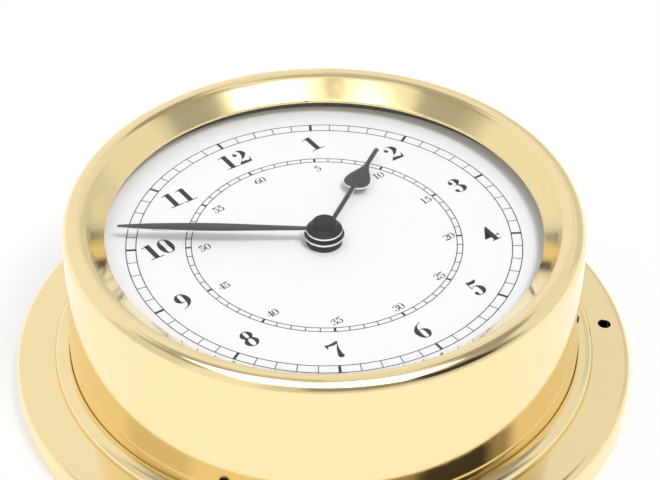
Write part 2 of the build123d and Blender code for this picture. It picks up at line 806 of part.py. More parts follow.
def minute_hand():
    """Leaf-shaped minute hand."""
    tip_half = minute_hand_width * minute_tip_share / 2
    tip_at = minute_hand_reach - tip_half
    places = [(width * minute_hand_width / 2, along * minute_hand_reach)
              for along, width in minute_leaf_shares]
    side = Curve() + Spline(*places, (tip_half, tip_at))
    boss = rod(minute_boss_radius, minute_boss_base, cap_base)
    return hand(side, tip_half, tip_at, minute_hand_angle, boss, minute_boss_base, thread_radius + seat_fit)


def hour_hand():
    """Hour hand with a pear-shaped swelling."""
    stem = hour_stem_width / 2
    pear = pear_width / 2
    tip_at = hour_hand_reach - stem
    upright = (0, 1)
    pear_middle = quarter((stem, pear_widest), pear - stem, pear_start - pear_widest)
    side = Curve() + [
        Line((stem, 0), (stem, pear_start)),
        ThreePointArc((stem, pear_start), pear_middle, (pear, pear_widest)),
        Spline((pear, pear_widest), (stem, pear_end), tangents=(upright, upright)),
        Line((stem, pear_end), (stem, tip_at))]
    boss = rod(hour_boss_radius, hour_boss_base, hour_boss_top)
    slit_half = hour_boss_slit / 2
    boss -= block(
        (0, -slit_half, hour_boss_base - cut_overrun),
        (hour_boss_radius, slit_half, hour_boss_top + cut_overrun))
    return hand(side, stem, tip_at, hour_hand_angle, boss, hour_boss_base, hour_pipe_radius + seat_fit)


def hand_nut():
    """Black cap that holds the minute hand on its arbor."""
    bore = thread_radius + seat_fit
    bore_top = cap_base + thread_engagement + seat_fit
    flat = cap_head_radius - cap_head_round
    head_middle = quarter((flat, cap_top - cap_head_round), cap_head_round, cap_head_round)
    return turned(outline(
        (0, bore_top),
        (bore, bore_top),
        (bore, cap_base),
        (cap_base_radius, cap_base),
        (cap_base_radius, cap_base + cap_skirt_edge),
        (cap_head_radius, cap_base + cap_skirt_height),
        (cap_head_radius, cap_top - cap_head_round),
        (head_middle, (flat, cap_top)),
        (0, cap_top)))


NODES = (
    flange_ring, locating_pins, drum_case, seal_ring, glass, glass_gasket, reflector_ring, dial,
    dial_snap_ring, rubber_washer, centre_nut, movement_front, movement_back, cover_screws, train_plate,
    minute_arbor, centre_wheel, hour_wheel, minute_wheel, setting_knob, third_wheel, seconds_wheel,
    intermediate_wheel, rotor, stator, coil_core, coil_bobbin, coil_winding, circuit_board,
    quartz_crystal, battery, contact_plus, contact_minus, hour_hand, minute_hand, hand_nut)

os.makedirs("parts", exist_ok=True)
for node in NODES:
    export_step(node(), f"parts/{node.__name__}.step")
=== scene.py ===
"""Looks of a round brass bulkhead clock with a quartz movement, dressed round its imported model."""

import logging
from dataclasses import dataclass, field
from enum import Enum
from functools import lru_cache
from math import acos, cos, degrees, pi, radians, sin, tan, tau
from typing import Any, Callable, Optional, Sequence

import bmesh
import bpy
from mathutils import Matrix, Vector


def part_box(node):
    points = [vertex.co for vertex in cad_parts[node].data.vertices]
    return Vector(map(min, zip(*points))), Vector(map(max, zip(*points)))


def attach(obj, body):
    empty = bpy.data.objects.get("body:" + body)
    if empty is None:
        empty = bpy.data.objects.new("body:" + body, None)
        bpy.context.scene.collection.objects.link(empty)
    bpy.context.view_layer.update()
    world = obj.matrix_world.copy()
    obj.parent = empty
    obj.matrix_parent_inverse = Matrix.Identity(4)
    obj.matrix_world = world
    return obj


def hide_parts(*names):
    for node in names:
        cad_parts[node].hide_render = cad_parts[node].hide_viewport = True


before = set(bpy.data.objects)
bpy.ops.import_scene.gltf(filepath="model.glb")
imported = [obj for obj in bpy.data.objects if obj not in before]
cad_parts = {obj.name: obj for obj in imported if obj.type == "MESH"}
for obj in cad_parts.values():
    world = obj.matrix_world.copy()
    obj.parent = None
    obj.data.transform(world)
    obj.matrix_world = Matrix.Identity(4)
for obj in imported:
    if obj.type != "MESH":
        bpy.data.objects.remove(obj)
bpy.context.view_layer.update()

LOG = logging.getLogger("clock")
MM = 0.001                  # every size below is in millimetres, and meshes end in metres
TURNING_STEPS = 288         # facets round the clock's axis
SMALL_TURNING_STEPS = 96    # facets round the pieces under the hands
ARC_STEPS = 12              # facets in a bend of a cut or a hand
TIP_STEPS = 8               # facets round a hand's tip
ROUNDING_STEPS = 5          # facets in a small rounded edge
STEPS_PER_MM = 9            # more facets for each millimetre of its radius
GUARD = 0.12                # distance of a guard loop from the end of a straight run
MERGE_DISTANCE = 0.00012    # points closer than this become one
CREASE = 35.0               # edges sharper than this, in degrees, stay sharp
SHARP_EDGE = 1.0            # least angle, in radians, of an edge that a plate's bevel takes
CLOUD_DETAIL = 3            # layers of a soft noise
SMUDGE_DETAIL = 5           # layers of a fine noise
NOISE_MIDDLE = (0.3, 0.7)   # range that a noise mostly keeps to

Corner = tuple[float, float, float]
Point = tuple[float, float]
Colour = tuple[float, float, float, float]


@lru_cache(maxsize=None)
def extent(node: str) -> tuple[Vector, Vector]:
    """Gives the lowest and the highest corner of a CAD node's box, in metres."""
    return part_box(node)


def reach(node: str) -> float:
    """Gives how far a CAD node reaches from the clock's axis, in millimetres."""
    low, high = extent(node)
    return max(-low.x, -low.y, high.x, high.y) / MM


def foot(node: str) -> float:
    """Gives the lowest height of a CAD node, in millimetres."""
    return extent(node)[0].z / MM


def crown(node: str) -> float:
    """Gives the highest height of a CAD node, in millimetres."""
    return extent(node)[1].z / MM


def middle(node: str) -> Vector:
    """Gives the middle of a CAD node's box, in millimetres."""
    low, high = extent(node)
    return (low + high) / (2 * MM)


def band(inner: float, outer: float, low: float, high: float) -> list[Point]:
    """Gives the square section of a plain ring."""
    return [(inner, low), (outer, low), (outer, high), (inner, high)]


def arc(centre: Point, radii: Point, start: float, end: float, steps: int) -> list[Point]:
    """Lays points along an arc of a circle or an upright ellipse, between two angles in degrees."""
    angles = [radians(start + (end - start) * step / steps) for step in range(steps + 1)]
    return [(centre[0] + radii[0] * cos(a), centre[1] + radii[1] * sin(a)) for a in angles]


def rounded(corners: Sequence[Corner]) -> list[Point]:
    """Rounds the corners of a closed profile.

    Args:
        corners: Radius, height and rounding of each corner in turn.

    Returns:
        The profile's points, with an arc in place of each corner that has a rounding, finer for a larger one.
    """
    points: list[Point] = []
    for here, (before, after) in enumerate(zip(corners[-1:] + corners[:-1], corners[1:] + corners[:1])):
        x, y, rounding = corners[here]
        place = Vector((x, y))
        if not rounding:
            points.append((x, y))
            continue
        back = (Vector(before[:2]) - place).normalized()
        ahead = (Vector(after[:2]) - place).normalized()
        half = acos(max(-1.0, min(1.0, back.dot(ahead)))) / 2
        centre = place + (back + ahead).normalized() * rounding / sin(half)
        start = place + back * rounding / tan(half) - centre
        end = place + ahead * rounding / tan(half) - centre
        steps = ROUNDING_STEPS + int(rounding * STEPS_PER_MM)
        for step in range(steps + 1):
            points.append(tuple(centre + start.slerp(end, step / steps) * rounding))
    return points


def guarded(points: Sequence[Point], closed: bool = True) -> list[Point]:
    """Adds a point near each end of a profile's straight runs, so that shading stays flat between them.

    Args:
        points: The profile.
        closed: Whether its last point joins the first.

    Returns:
        The profile with its guard points.
    """
    result: list[Point] = [] if closed else [points[-1]]
    runs = list(zip(points, points[1:])) + ([(points[-1], points[0])] if closed else [])
    for start, end in runs:
        result.append(start)
        first, last = Vector(start), Vector(end)
        length = (last - first).length
        if length > 4 * GUARD:
            result.append(tuple(first.lerp(last, GUARD / length)))
            result.append(tuple(last.lerp(first, GUARD / length)))
    return result if closed else result[1:] + result[:1]


def flowing(points: Sequence[Point], steps: int) -> list[Point]:
    """Runs a smooth line through points, with tangents taken from each point's neighbours.

    Args:
        points: Points that the line passes through.
        steps: Facets between two points.

    Returns:
        The line's points, both ends included.
    """
    places = [Vector(p) for p in points]
    ends = [2 * places[0] - places[1]] + places + [2 * places[-1] - places[-2]]
    line: list[Point] = []
    for before, first, last, after in zip(ends, ends[1:], ends[2:], ends[3:]):
        for step in range(steps):
            t = step / steps
            run_in, run_out = (last - before) / 2, (after - first) / 2
            place = (first * (2 * t ** 3 - 3 * t ** 2 + 1) + run_in * (t ** 3 - 2 * t ** 2 + t)
                     + last * (3 * t ** 2 - 2 * t ** 3) + run_out * (t ** 3 - t ** 2))
            line.append(tuple(place))
    return line + [tuple(places[-1])]


class Body(Enum):
    """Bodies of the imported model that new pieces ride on."""

    FLANGE = "wall_flange"
    CASE = "clock_case"
    MINUTE = "minute_work"
    HOUR = "hour_work"


class NodeBench:
    """Lays out the nodes of one material."""

    def __init__(self, name: str, world: bool = False) -> None:
        """Starts an empty material, or an empty world.

        Args:
            name: Its name.
            world: Whether it is a world.
        """
        self.material = (bpy.data.worlds if world else bpy.data.materials).new(name)
        self.material.use_nodes = True
        self.tree = self.material.node_tree
        self.tree.nodes.clear()
        self.output = self.add("OutputWorld" if world else "OutputMaterial")

    def add(self, kind: str, sockets: Optional[dict[str, Any]] = None, **settings: Any) -> bpy.types.Node:
        """Adds a node.

        Args:
            kind: Node type, without its usual first word.
            sockets: Values or linked outputs by input name or place.
            settings: Properties of the node.

        Returns:
            The new node.
        """
        node = self.tree.nodes.new("ShaderNode" + kind)
        for key, value in settings.items():
            setattr(node, key, value)
        for key, value in (sockets or {}).items():
            if isinstance(value, bpy.types.NodeSocket):
                self.tree.links.new(value, node.inputs[key])
            else:
                node.inputs[key].default_value = value
        return node

    def place(self) -> bpy.types.NodeSocket:
        """Gives the place on the piece, in metres."""
        return self.add("TexCoord").outputs["Object"]

    def turned_place(self) -> bpy.types.NodeSocket:
        """Gives radius and height about the clock's axis, for marks that run round it."""
        place = self.place()
        flat = self.add("VectorMath", {0: place, 1: (1, 1, 0)}, operation="MULTIPLY")
        radius = self.add("VectorMath", {0: flat.outputs["Vector"]}, operation="LENGTH")
        height = self.add("SeparateXYZ", {0: place})
        joined = self.add("CombineXYZ", {"X": radius.outputs["Value"], "Y": height.outputs["Z"]})
        return joined.outputs["Vector"]

    def noise(self, place: bpy.types.NodeSocket, scale: float, detail: float = 2.0) -> bpy.types.NodeSocket:
        """Gives cloudy noise from 0 to 1, with so many clouds in a metre."""
        return self.add("TexNoise", {"Vector": place, "Scale": scale, "Detail": detail}).outputs["Fac"]

    def spread(self, value: bpy.types.NodeSocket, low: float, high: float) -> bpy.types.NodeSocket:
        """Spreads the middle of a noise over a range of values."""
        least, most = NOISE_MIDDLE
        sockets = {"Value": value, "From Min": least, "From Max": most, "To Min": low, "To Max": high}
        return self.add("MapRange", sockets).outputs["Result"]

    def blend(self, share: Any, first: Any, second: Any, kind: str = "Color") -> bpy.types.NodeSocket:
        """Blends two colours or two numbers.

        Args:
            share: How much of the second one there is.
            first: Result where the share is 0.
            second: Result where it is 1.
            kind: Color, or Float for numbers.

        Returns:
            The blend.
        """
        node = self.add("Mix", data_type="RGBA" if kind == "Color" else "FLOAT")
        for key, value in (("Factor_Float", share), ("A_" + kind, first), ("B_" + kind, second)):
            socket = next(s for s in node.inputs if s.identifier == key)
            if isinstance(value, bpy.types.NodeSocket):
                self.tree.links.new(value, socket)
            else:
                socket.default_value = value
        return next(s for s in node.outputs if s.identifier == "Result_" + kind)

    def sum_of(self, operation: str, first: Any, second: Any = 0.0) -> bpy.types.NodeSocket:
        """Gives a sum, product or other result of two numbers."""
        return self.add("Math", {0: first, 1: second}, operation=operation).outputs["Value"]

    def step(self, value: bpy.types.NodeSocket, start: float, end: float) -> bpy.types.NodeSocket:
        """Gives 0 before the start, 1 after the end and a smooth rise between them."""
        sockets = {"Value": value, "From Min": start, "From Max": end}
        return self.add("MapRange", sockets, interpolation_type="SMOOTHSTEP").outputs["Result"]

    def bump(self, height: bpy.types.NodeSocket, depth: float) -> bpy.types.NodeSocket:
        """Gives the normal of a surface with fine relief, whose depth is in millimetres."""
        return self.add("Bump", {"Height": height, "Distance": depth * MM}).outputs["Normal"]

    def surface(self, shader: bpy.types.Node) -> bpy.types.Material:
        """Ends the material with a shader, and gives the finished material."""
        self.tree.links.new(shader.outputs[0], self.output.inputs["Surface"])
        return self.material


@dataclass(frozen=True)
class Finish:
    """A surface finish. Each kind of finish makes its own material."""

    name: str
    slot: str

    def make(self) -> bpy.types.Material:
        """Makes the finish's material."""
        raise NotImplementedError


@lru_cache(maxsize=None)
def material_of(finish: Finish) -> bpy.types.Material:
    """Makes a finish's material once, and gives the same one after that."""
    return finish.make()


@dataclass(frozen=True)
class Metal(Finish):
    """Metal with fine turned or drawn marks and a slightly uneven gloss."""

    bright: Colour = (0.95, 0.78, 0.445, 1)
    deep: Colour = (0.93, 0.755, 0.415, 1)
    gloss: Point = (0.05, 0.10)          # least and most roughness
    mark_scale: float = 5200.0           # turned marks in a metre
    mark_depth: float = 0.0006
    cloud_scale: float = 60.0
    smudge_scale: float = 540.0

    def make(self) -> bpy.types.Material:
        """Makes the metal's material."""
        bench = NodeBench(self.name)
        place = bench.place()
        clouds = bench.noise(place, self.cloud_scale, CLOUD_DETAIL)
        smudges = bench.noise(place, self.smudge_scale, SMUDGE_DETAIL)
        marks = bench.noise(bench.turned_place(), self.mark_scale, CLOUD_DETAIL)
        shader = bench.add("BsdfPrincipled", {
            "Base Color": bench.blend(clouds, self.bright, self.deep),
            "Metallic": 1.0,
            "Roughness": bench.spread(smudges, *self.gloss),
            "Normal": bench.bump(marks, self.mark_depth)})
        return bench.surface(shader)


@dataclass(frozen=True)
class Coating(Finish):
    """Paint, lacquer, rubber or moulded plastic with a fine grain."""

    bright: Colour = (0.8, 0.8, 0.8, 1)
    deep: Colour = (0.78, 0.78, 0.78, 1)
    gloss: Point = (0.4, 0.5)
    grain_scale: float = 9000.0
    grain_depth: float = 0.002
    cloud_scale: float = 120.0
    lustre: float = 0.5                  # specular level

    def make(self) -> bpy.types.Material:
        """Makes the coating's material."""
        bench = NodeBench(self.name)
        place = bench.place()
        clouds = bench.noise(place, self.cloud_scale, CLOUD_DETAIL)
        grain = bench.noise(place, self.grain_scale)
        shader = bench.add("BsdfPrincipled", {
            "Base Color": bench.blend(clouds, self.bright, self.deep),
            "Roughness": bench.spread(grain, *self.gloss),
            "Specular IOR Level": self.lustre,
            "Normal": bench.bump(grain, self.grain_depth)})
        return bench.surface(shader)


@dataclass(frozen=True)
class Glazing(Finish):
    """Clear flat glass that lets light through to the dial."""

    coat_ior: float = 1.2                # of the surface's gloss; the thin pane itself doesn't bend the view
    tint: Colour = (0.99, 0.995, 1.0, 1)
    ripple_scale: float = 90.0
    ripple_depth: float = 0.0004
    haze: float = 0.01

    def make(self) -> bpy.types.Material:
        """Makes the glass's material."""
        bench = NodeBench(self.name)
        ripple = bench.noise(bench.place(), self.ripple_scale, 1)
        glass = bench.add("BsdfPrincipled", {
            "Base Color": self.tint,
            "Roughness": 0.0,
            "IOR": 1.0,
            "Transmission Weight": 1.0,
            "Coat Weight": 1.0,
            "Coat Roughness": self.haze,
            "Coat IOR": self.coat_ior,
            "Coat Normal": bench.bump(ripple, self.ripple_depth)})
        clear = bench.add("BsdfTransparent", {"Color": self.tint})
        rays = bench.add("LightPath").outputs
        lit = bench.sum_of("MAXIMUM", rays["Is Shadow Ray"], rays["Is Diffuse Ray"])
        return bench.surface(bench.add("MixShader", {0: lit, 1: glass.outputs[0], 2: clear.outputs[0]}))


@dataclass(frozen=True)
class Banded(Finish):
    """Finish whose colour changes along the clock's width, as on a battery's sleeve."""

    first: Colour = (0.02, 0.02, 0.022, 1)
    second: Colour = (0.7, 0.5, 0.2, 1)
    border: float = 0.0                  # where the second colour starts, in millimetres
    gloss: Point = (0.25, 0.35)
    grain_scale: float = 4000.0
    grain_depth: float = 0.001

    def make(self) -> bpy.types.Material:
        """Makes the banded material."""
        bench = NodeBench(self.name)
        place = bench.place()
        along = bench.add("SeparateXYZ", {0: place}).outputs["X"]
        past = bench.sum_of("GREATER_THAN", along, self.border * MM)
        grain = bench.noise(place, self.grain_scale, CLOUD_DETAIL)
        shader = bench.add("BsdfPrincipled", {
            "Base Color": bench.blend(past, self.first, self.second),
            "Roughness": bench.spread(grain, *self.gloss),
            "Normal": bench.bump(grain, self.grain_depth)})
        return bench.surface(shader)


BRASS = Metal("polished_brass", "brass")
RING_BRASS = Metal(
    "mirror_brass", "brass", bright=(0.95, 0.765, 0.39, 1), deep=(0.93, 0.74, 0.36, 1), gloss=(0.06, 0.11))
BARE_EDGE = Metal("bare_metal_edge", "steel", (0.92, 0.92, 0.90, 1), (0.86, 0.86, 0.85, 1), (0.15, 0.25))
STEEL = Metal(
    "bright_steel", "steel", (0.62, 0.62, 0.63, 1), (0.55, 0.55, 0.57, 1), (0.2, 0.32), 7000.0, 0.001)
ARBOR_STEEL = Metal("arbor_steel", "arbor_steel", (0.58, 0.58, 0.6, 1), (0.5, 0.5, 0.52, 1), (0.12, 0.22))
MAGNET = Metal("magnet_grey", "magnet", (0.30, 0.30, 0.32, 1), (0.24, 0.24, 0.26, 1), (0.3, 0.42))
NICKEL = Metal("contact_nickel", "contact_nickel", (0.72, 0.69, 0.63, 1), (0.65, 0.62, 0.57, 1), (0.18, 0.3))
CAN = Metal("crystal_can", "crystal_can", (0.75, 0.75, 0.76, 1), (0.68, 0.68, 0.7, 1), (0.15, 0.25))
COPPER = Metal(
    "enamelled_copper", "copper", (0.72, 0.30, 0.14, 1), (0.62, 0.23, 0.10, 1), (0.15, 0.25), 9000.0, 0.02)
GLASS = Glazing("clear_glass", "glass")
DIAL_WHITE = Coating(
    "dial_white", "dial_white", (0.93, 0.93, 0.935, 1), (0.915, 0.915, 0.92, 1), (0.42, 0.52), 6000.0, 0.0015)
INK = Coating(
    "dial_ink", "hand_black", (0.012, 0.012, 0.014, 1), (0.018, 0.018, 0.02, 1), (0.5, 0.65), 7000.0,
    lustre=0.3)
HAND_BLACK = Coating(
    "hand_lacquer", "hand_black", (0.012, 0.012, 0.013, 1), (0.018, 0.018, 0.02, 1), (0.3, 0.42), 8000.0,
    0.0012, lustre=0.7)
CAP_BLACK = Coating(
    "cap_lacquer", "hand_black", (0.012, 0.012, 0.013, 1), (0.018, 0.018, 0.02, 1), (0.3, 0.4), 5000.0,
    0.001, lustre=0.15)
RUBBER = Coating(
    "black_rubber", "rubber", (0.022, 0.022, 0.023, 1), (0.03, 0.03, 0.032, 1), (0.6, 0.75), 5000.0, 0.01)
# Painted shade: a near-black coat on the hollow behind the flange, so that the screw holes read dark.
PAINTED_SHADE_HOLLOW = Coating(
    "painted_shade_hollow", "brass", (0.03, 0.024, 0.014, 1), (0.02, 0.016, 0.01, 1), (0.75, 0.9), 2500.0,
    0.004, lustre=0.1)
FELT = Coating(
    "black_felt", "rubber", (0.006, 0.006, 0.006, 1), (0.012, 0.012, 0.012, 1), (0.9, 1.0), 9000.0, 0.03)
CLEAR_GASKET = Coating(
    "clear_gasket", "rubber", (0.86, 0.84, 0.78, 1), (0.82, 0.8, 0.73, 1), (0.35, 0.5), 5000.0, 0.003)
SHELL = Coating(
    "moulded_shell", "movement_plastic", (0.02, 0.02, 0.022, 1), (0.028, 0.028, 0.03, 1), (0.42, 0.6), 3500.0,
    0.012)
WHEEL = Coating(
    "wheel_acetal", "wheel_plastic", (0.86, 0.84, 0.78, 1), (0.8, 0.78, 0.71, 1), (0.32, 0.45), 5000.0, 0.003)
KNOB = Coating(
    "knob_plastic", "knob_plastic", (0.75, 0.75, 0.74, 1), (0.7, 0.7, 0.69, 1), (0.35, 0.5), 4500.0, 0.006)
BOARD = Coating(
    "board_lacquer", "board", (0.05, 0.22, 0.09, 1), (0.035, 0.16, 0.065, 1), (0.25, 0.4), 2500.0, 0.006,
    900.0)


class Workpiece:
    """A mesh in the making, in millimetres, that ends as a finished piece on a body."""

    def __init__(self) -> None:
        """Starts with an empty mesh."""
        self.mesh = bmesh.new()

    def turn(self, profile: Sequence[Point], steps: int = TURNING_STEPS, closed: bool = True) -> "Workpiece":
        """Spins a profile of radius and height about the clock's axis.

        Args:
            profile: Points of the profile in turn.
            steps: Facets round the axis.
            closed: Whether the last point joins the first.

        Returns:
            This piece.
        """
        verts = [self.mesh.verts.new((radius, 0, height)) for radius, height in profile]
        pairs = list(zip(verts, verts[1:])) + ([(verts[-1], verts[0])] if closed else [])
        edges = [self.mesh.edges.new(pair) for pair in pairs]
        bmesh.ops.spin(
            self.mesh, geom=verts + edges, cent=(0, 0, 0), axis=(0, 0, 1), dvec=(0, 0, 0), angle=tau,
            steps=steps, use_merge=True)
        bmesh.ops.remove_doubles(self.mesh, verts=self.mesh.verts, dist=MERGE_DISTANCE)
        bmesh.ops.recalc_face_normals(self.mesh, faces=self.mesh.faces)
        return self

    def plate(
            self, outline: Sequence[Point], base: float, thickness: float, edge: float = 0.0) -> "Workpiece":
        """Raises a flat plate from an outline.

        Args:
            outline: Points round the plate, anticlockwise from above.
            base: Height of its underside.
            thickness: Its thickness.
            edge: Width of the bevel along its upper and lower rims.

        Returns:
            This piece.
        """
        verts = [self.mesh.verts.new((x, y, base)) for x, y in outline]
        face = self.mesh.faces.new(verts)
        grown = bmesh.ops.extrude_face_region(self.mesh, geom=[face], use_keep_orig=True)["geom"]
        raised = [item for item in grown if isinstance(item, bmesh.types.BMVert)]
        bmesh.ops.translate(self.mesh, vec=(0, 0, thickness), verts=raised)
        bmesh.ops.recalc_face_normals(self.mesh, faces=self.mesh.faces)
        if edge:
            level = [e for e in self.mesh.edges if abs(e.verts[0].co.z - e.verts[1].co.z) < edge / 2]
            rims = [e for e in level if e.calc_face_angle(0) > SHARP_EDGE]
            bmesh.ops.bevel(
                self.mesh, geom=rims, offset=edge, offset_type="OFFSET", affect="EDGES", segments=2,
                profile=0.5, material=-1, clamp_overlap=True)
        return self

    def add(self, other: "Workpiece") -> "Workpiece":
        """Takes another piece's mesh into this one, and ends the other piece."""
        carried = bpy.data.meshes.new("carried")
        other.mesh.to_mesh(carried)
        other.mesh.free()
        self.mesh.from_mesh(carried)
        bpy.data.meshes.remove(carried)
        return self

    def move(self, matrix: Matrix) -> "Workpiece":
        """Moves the whole mesh."""
        bmesh.ops.transform(self.mesh, matrix=matrix, verts=self.mesh.verts)
        return self

    def cut(self, tool: "Workpiece") -> "Workpiece":
        """Cuts another piece's shape out of this one, and ends the other piece.

        Args:
            tool: Closed shape to cut away.

        Returns:
            This piece.
        """
        blank, cutter = (piece.loose_object(word) for piece, word in ((self, "blank"), (tool, "cutter")))
        modifier = blank.modifiers.new("cut", "BOOLEAN")
        modifier.object = cutter
        modifier.solver = "EXACT"
        graph = bpy.context.evaluated_depsgraph_get()
        result = bpy.data.meshes.new_from_object(blank.evaluated_get(graph))
        self.mesh = bmesh.new()
        self.mesh.from_mesh(result)
        for spent in (blank, cutter):
            old = spent.data
            bpy.data.objects.remove(spent)
            bpy.data.meshes.remove(old)
        bpy.data.meshes.remove(result)
        return self

    def loose_object(self, name: str) -> bpy.types.Object:
        """Turns the mesh into a plain object, and ends this piece."""
        mesh = bpy.data.meshes.new(name)
        self.mesh.to_mesh(mesh)
        self.mesh.free()
        made = bpy.data.objects.new(name, mesh)
        bpy.context.scene.collection.objects.link(made)
        return made

    def finish(
            self, name: str, body: Body, finishes: Sequence[Finish], replaced: Sequence[str] = (),
            choose: Optional[Callable[[bpy.types.MeshPolygon], int]] = None) -> None:
        """Ends the piece: scales it to metres, dresses it and sets it on its body.

        Args:
            name: The piece's name.
            body: The body that it rides on.
            finishes: Its finishes, the main one first.
            replaced: CAD nodes that it stands for.
            choose: Gives the place of a face's finish in the list, where there is more than one.
        """
        bmesh.ops.scale(self.mesh, vec=(MM, MM, MM), verts=self.mesh.verts)
        made = self.loose_object(name)
        mesh = made.data
        mesh.materials.clear()
        for finish in finishes:
            mesh.materials.append(material_of(finish))
        mesh.polygons.foreach_set("use_smooth", [True] * len(mesh.polygons))
        mesh.set_sharp_from_angle(angle=radians(CREASE))
        if choose:
            for face in mesh.polygons:
                face.material_index = choose(face)
        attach(made, body.value)
        if replaced:
            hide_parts(*replaced)
        LOG.info("%s rides on %s with %d faces", name, body.value, len(mesh.polygons))


def dress(node: str, finish: Finish) -> None:
    """Gives a CAD node that stays in view its finish."""
    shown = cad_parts[node]
    for slot in shown.material_slots:
        slot.material = material_of(finish)
    LOG.info("%s keeps its shape, in %s", node, finish.name)


@dataclass
class WallFlange:
    """Spun wall flange with its screw holes and raised collar."""

    edge_round: float = 1.9
    land_rise: float = 0.5
    wall: float = 1.6
    collar_outer_round: float = 2.3
    collar_inner_round: float = 0.9
    collar_inner_edge: float = 0.35      # rounding left on the crest's inner corner
    slide_fit: float = 0.03
    ledge_width: float = 4.75
    screw_radius: float = 1.35
    screw_inset: float = 4.5
    screw_angles: tuple[float, ...] = (91.4, 211.4, 331.4)
    soft_edge: float = 0.15
    edge_line: float = 0.04              # fine step where the land meets the rounded edge
    hole_chamfer: float = 0.02
    hole_sheet: float = 0.3              # metal left round a hole, which is relieved from behind
    hole_relief: float = 2.4
    hole_steps: int = 48
    ring_steps: int = 360
    felt_width: float = 7.2
    felt_height: float = 0.6
    felt_gap: float = 0.15

    def collar(self) -> float:
        """Gives the radius of the collar's foot."""
        return self.bore() + self.collar_inner_round + self.collar_outer_round

    def land_fall(self) -> float:
        """Gives how much the sloping land falls for each millimetre outwards."""
        return self.land_rise / (reach("flange_ring") - self.edge_round - self.collar())

    def land(self, radius: float) -> float:
        """Gives the height of the sloping land at a radius."""
        return crown("flange_ring") - self.collar_outer_round - self.land_fall() * (radius - self.collar())

    def bore(self) -> float:
        """Gives the radius of the hole that the drum stands in."""
        return reach("drum_case") + self.slide_fit

    def profile(self) -> list[Point]:
        """Gives the flange's section, from the outer edge over the rounded collar to the drum's seat."""
        edge, top, seat = reach("flange_ring"), crown("flange_ring"), foot("drum_case")
        bore, collar = self.bore(), self.collar()
        border = edge - self.edge_round
        brow, under = self.land(border) - self.edge_line, self.land(border) - self.wall
        return guarded(rounded([
            (edge, 0, self.soft_edge),
            (edge, brow, self.edge_round),
            (border - self.edge_line, brow, 0),
            (border - 2 * self.edge_line, self.land(border), 0),
            (collar, self.land(collar), 0),
            (collar, top, self.collar_outer_round),
            (bore, top, self.collar_inner_edge),
            (bore, seat, 0),
            (bore - self.ledge_width, seat, self.soft_edge),
            (bore - self.ledge_width, seat - self.wall, self.soft_edge),
            (bore + self.wall, seat - self.wall, 0),
            (bore + self.wall, under, 0),
            (edge - self.wall, under, 0),
            (edge - self.wall, 0, self.soft_edge)]))

    def drill(self, angle: float) -> Workpiece:
        """Gives the cutter of one screw hole, square to the sloping land, chamfered and relieved from behind.

        Args:
            angle: The hole's place, in degrees from the right of the dial.

        Returns:
            The cutter.
        """
        top, circle = crown("flange_ring"), reach("flange_ring") - self.screw_inset
        radius, chamfer = self.screw_radius, self.hole_chamfer
        section = [
            (0, -top), (self.hole_relief, -top), (self.hole_relief, -self.hole_sheet),
            (radius, -self.hole_sheet), (radius, -chamfer), (radius + 2 * chamfer, chamfer), (0, chamfer)]
        tool = Workpiece().turn(section, self.hole_steps, closed=False)
        lean = Matrix.Translation((circle, 0, self.land(circle))) @ Matrix.Rotation(self.land_fall(), 4, "Y")
        return tool.move(Matrix.Rotation(radians(angle), 4, "Z") @ lean)

    def build(self) -> None:
        """Makes the flange, drills it and dresses it."""
        ring = Workpiece().turn(self.profile(), self.ring_steps)
        for angle in self.screw_angles:
            ring.cut(self.drill(angle))
        inner, outer = self.bore() + self.wall / 2, reach("flange_ring") - self.wall
        high, fall = self.land(0) - self.hole_sheet / 2, self.land_fall()

        def side(face: bpy.types.MeshPolygon) -> int:
            """Gives polished brass to what is seen from outside, and a near-black coat of painted shade to
            the hollow behind.
            """
            radius, height = Vector(face.center[:2]).length / MM, face.center.z / MM
            return int(inner < radius < outer and height < high - fall * radius)

        ring.finish("brass_flange", Body.FLANGE, [BRASS, PAINTED_SHADE_HOLLOW], ["flange_ring"], choose=side)
        outer = reach("flange_ring") - self.wall - self.felt_gap
        felt = rounded([
            (outer - self.felt_width, 0, 0),
            (outer, 0, 0),
            (outer, self.felt_height, self.soft_edge),
            (outer - self.felt_width, self.felt_height, self.soft_edge)])
        Workpiece().turn(felt).finish("backing_felt", Body.FLANGE, [FELT])
        dress("locating_pins", STEEL)


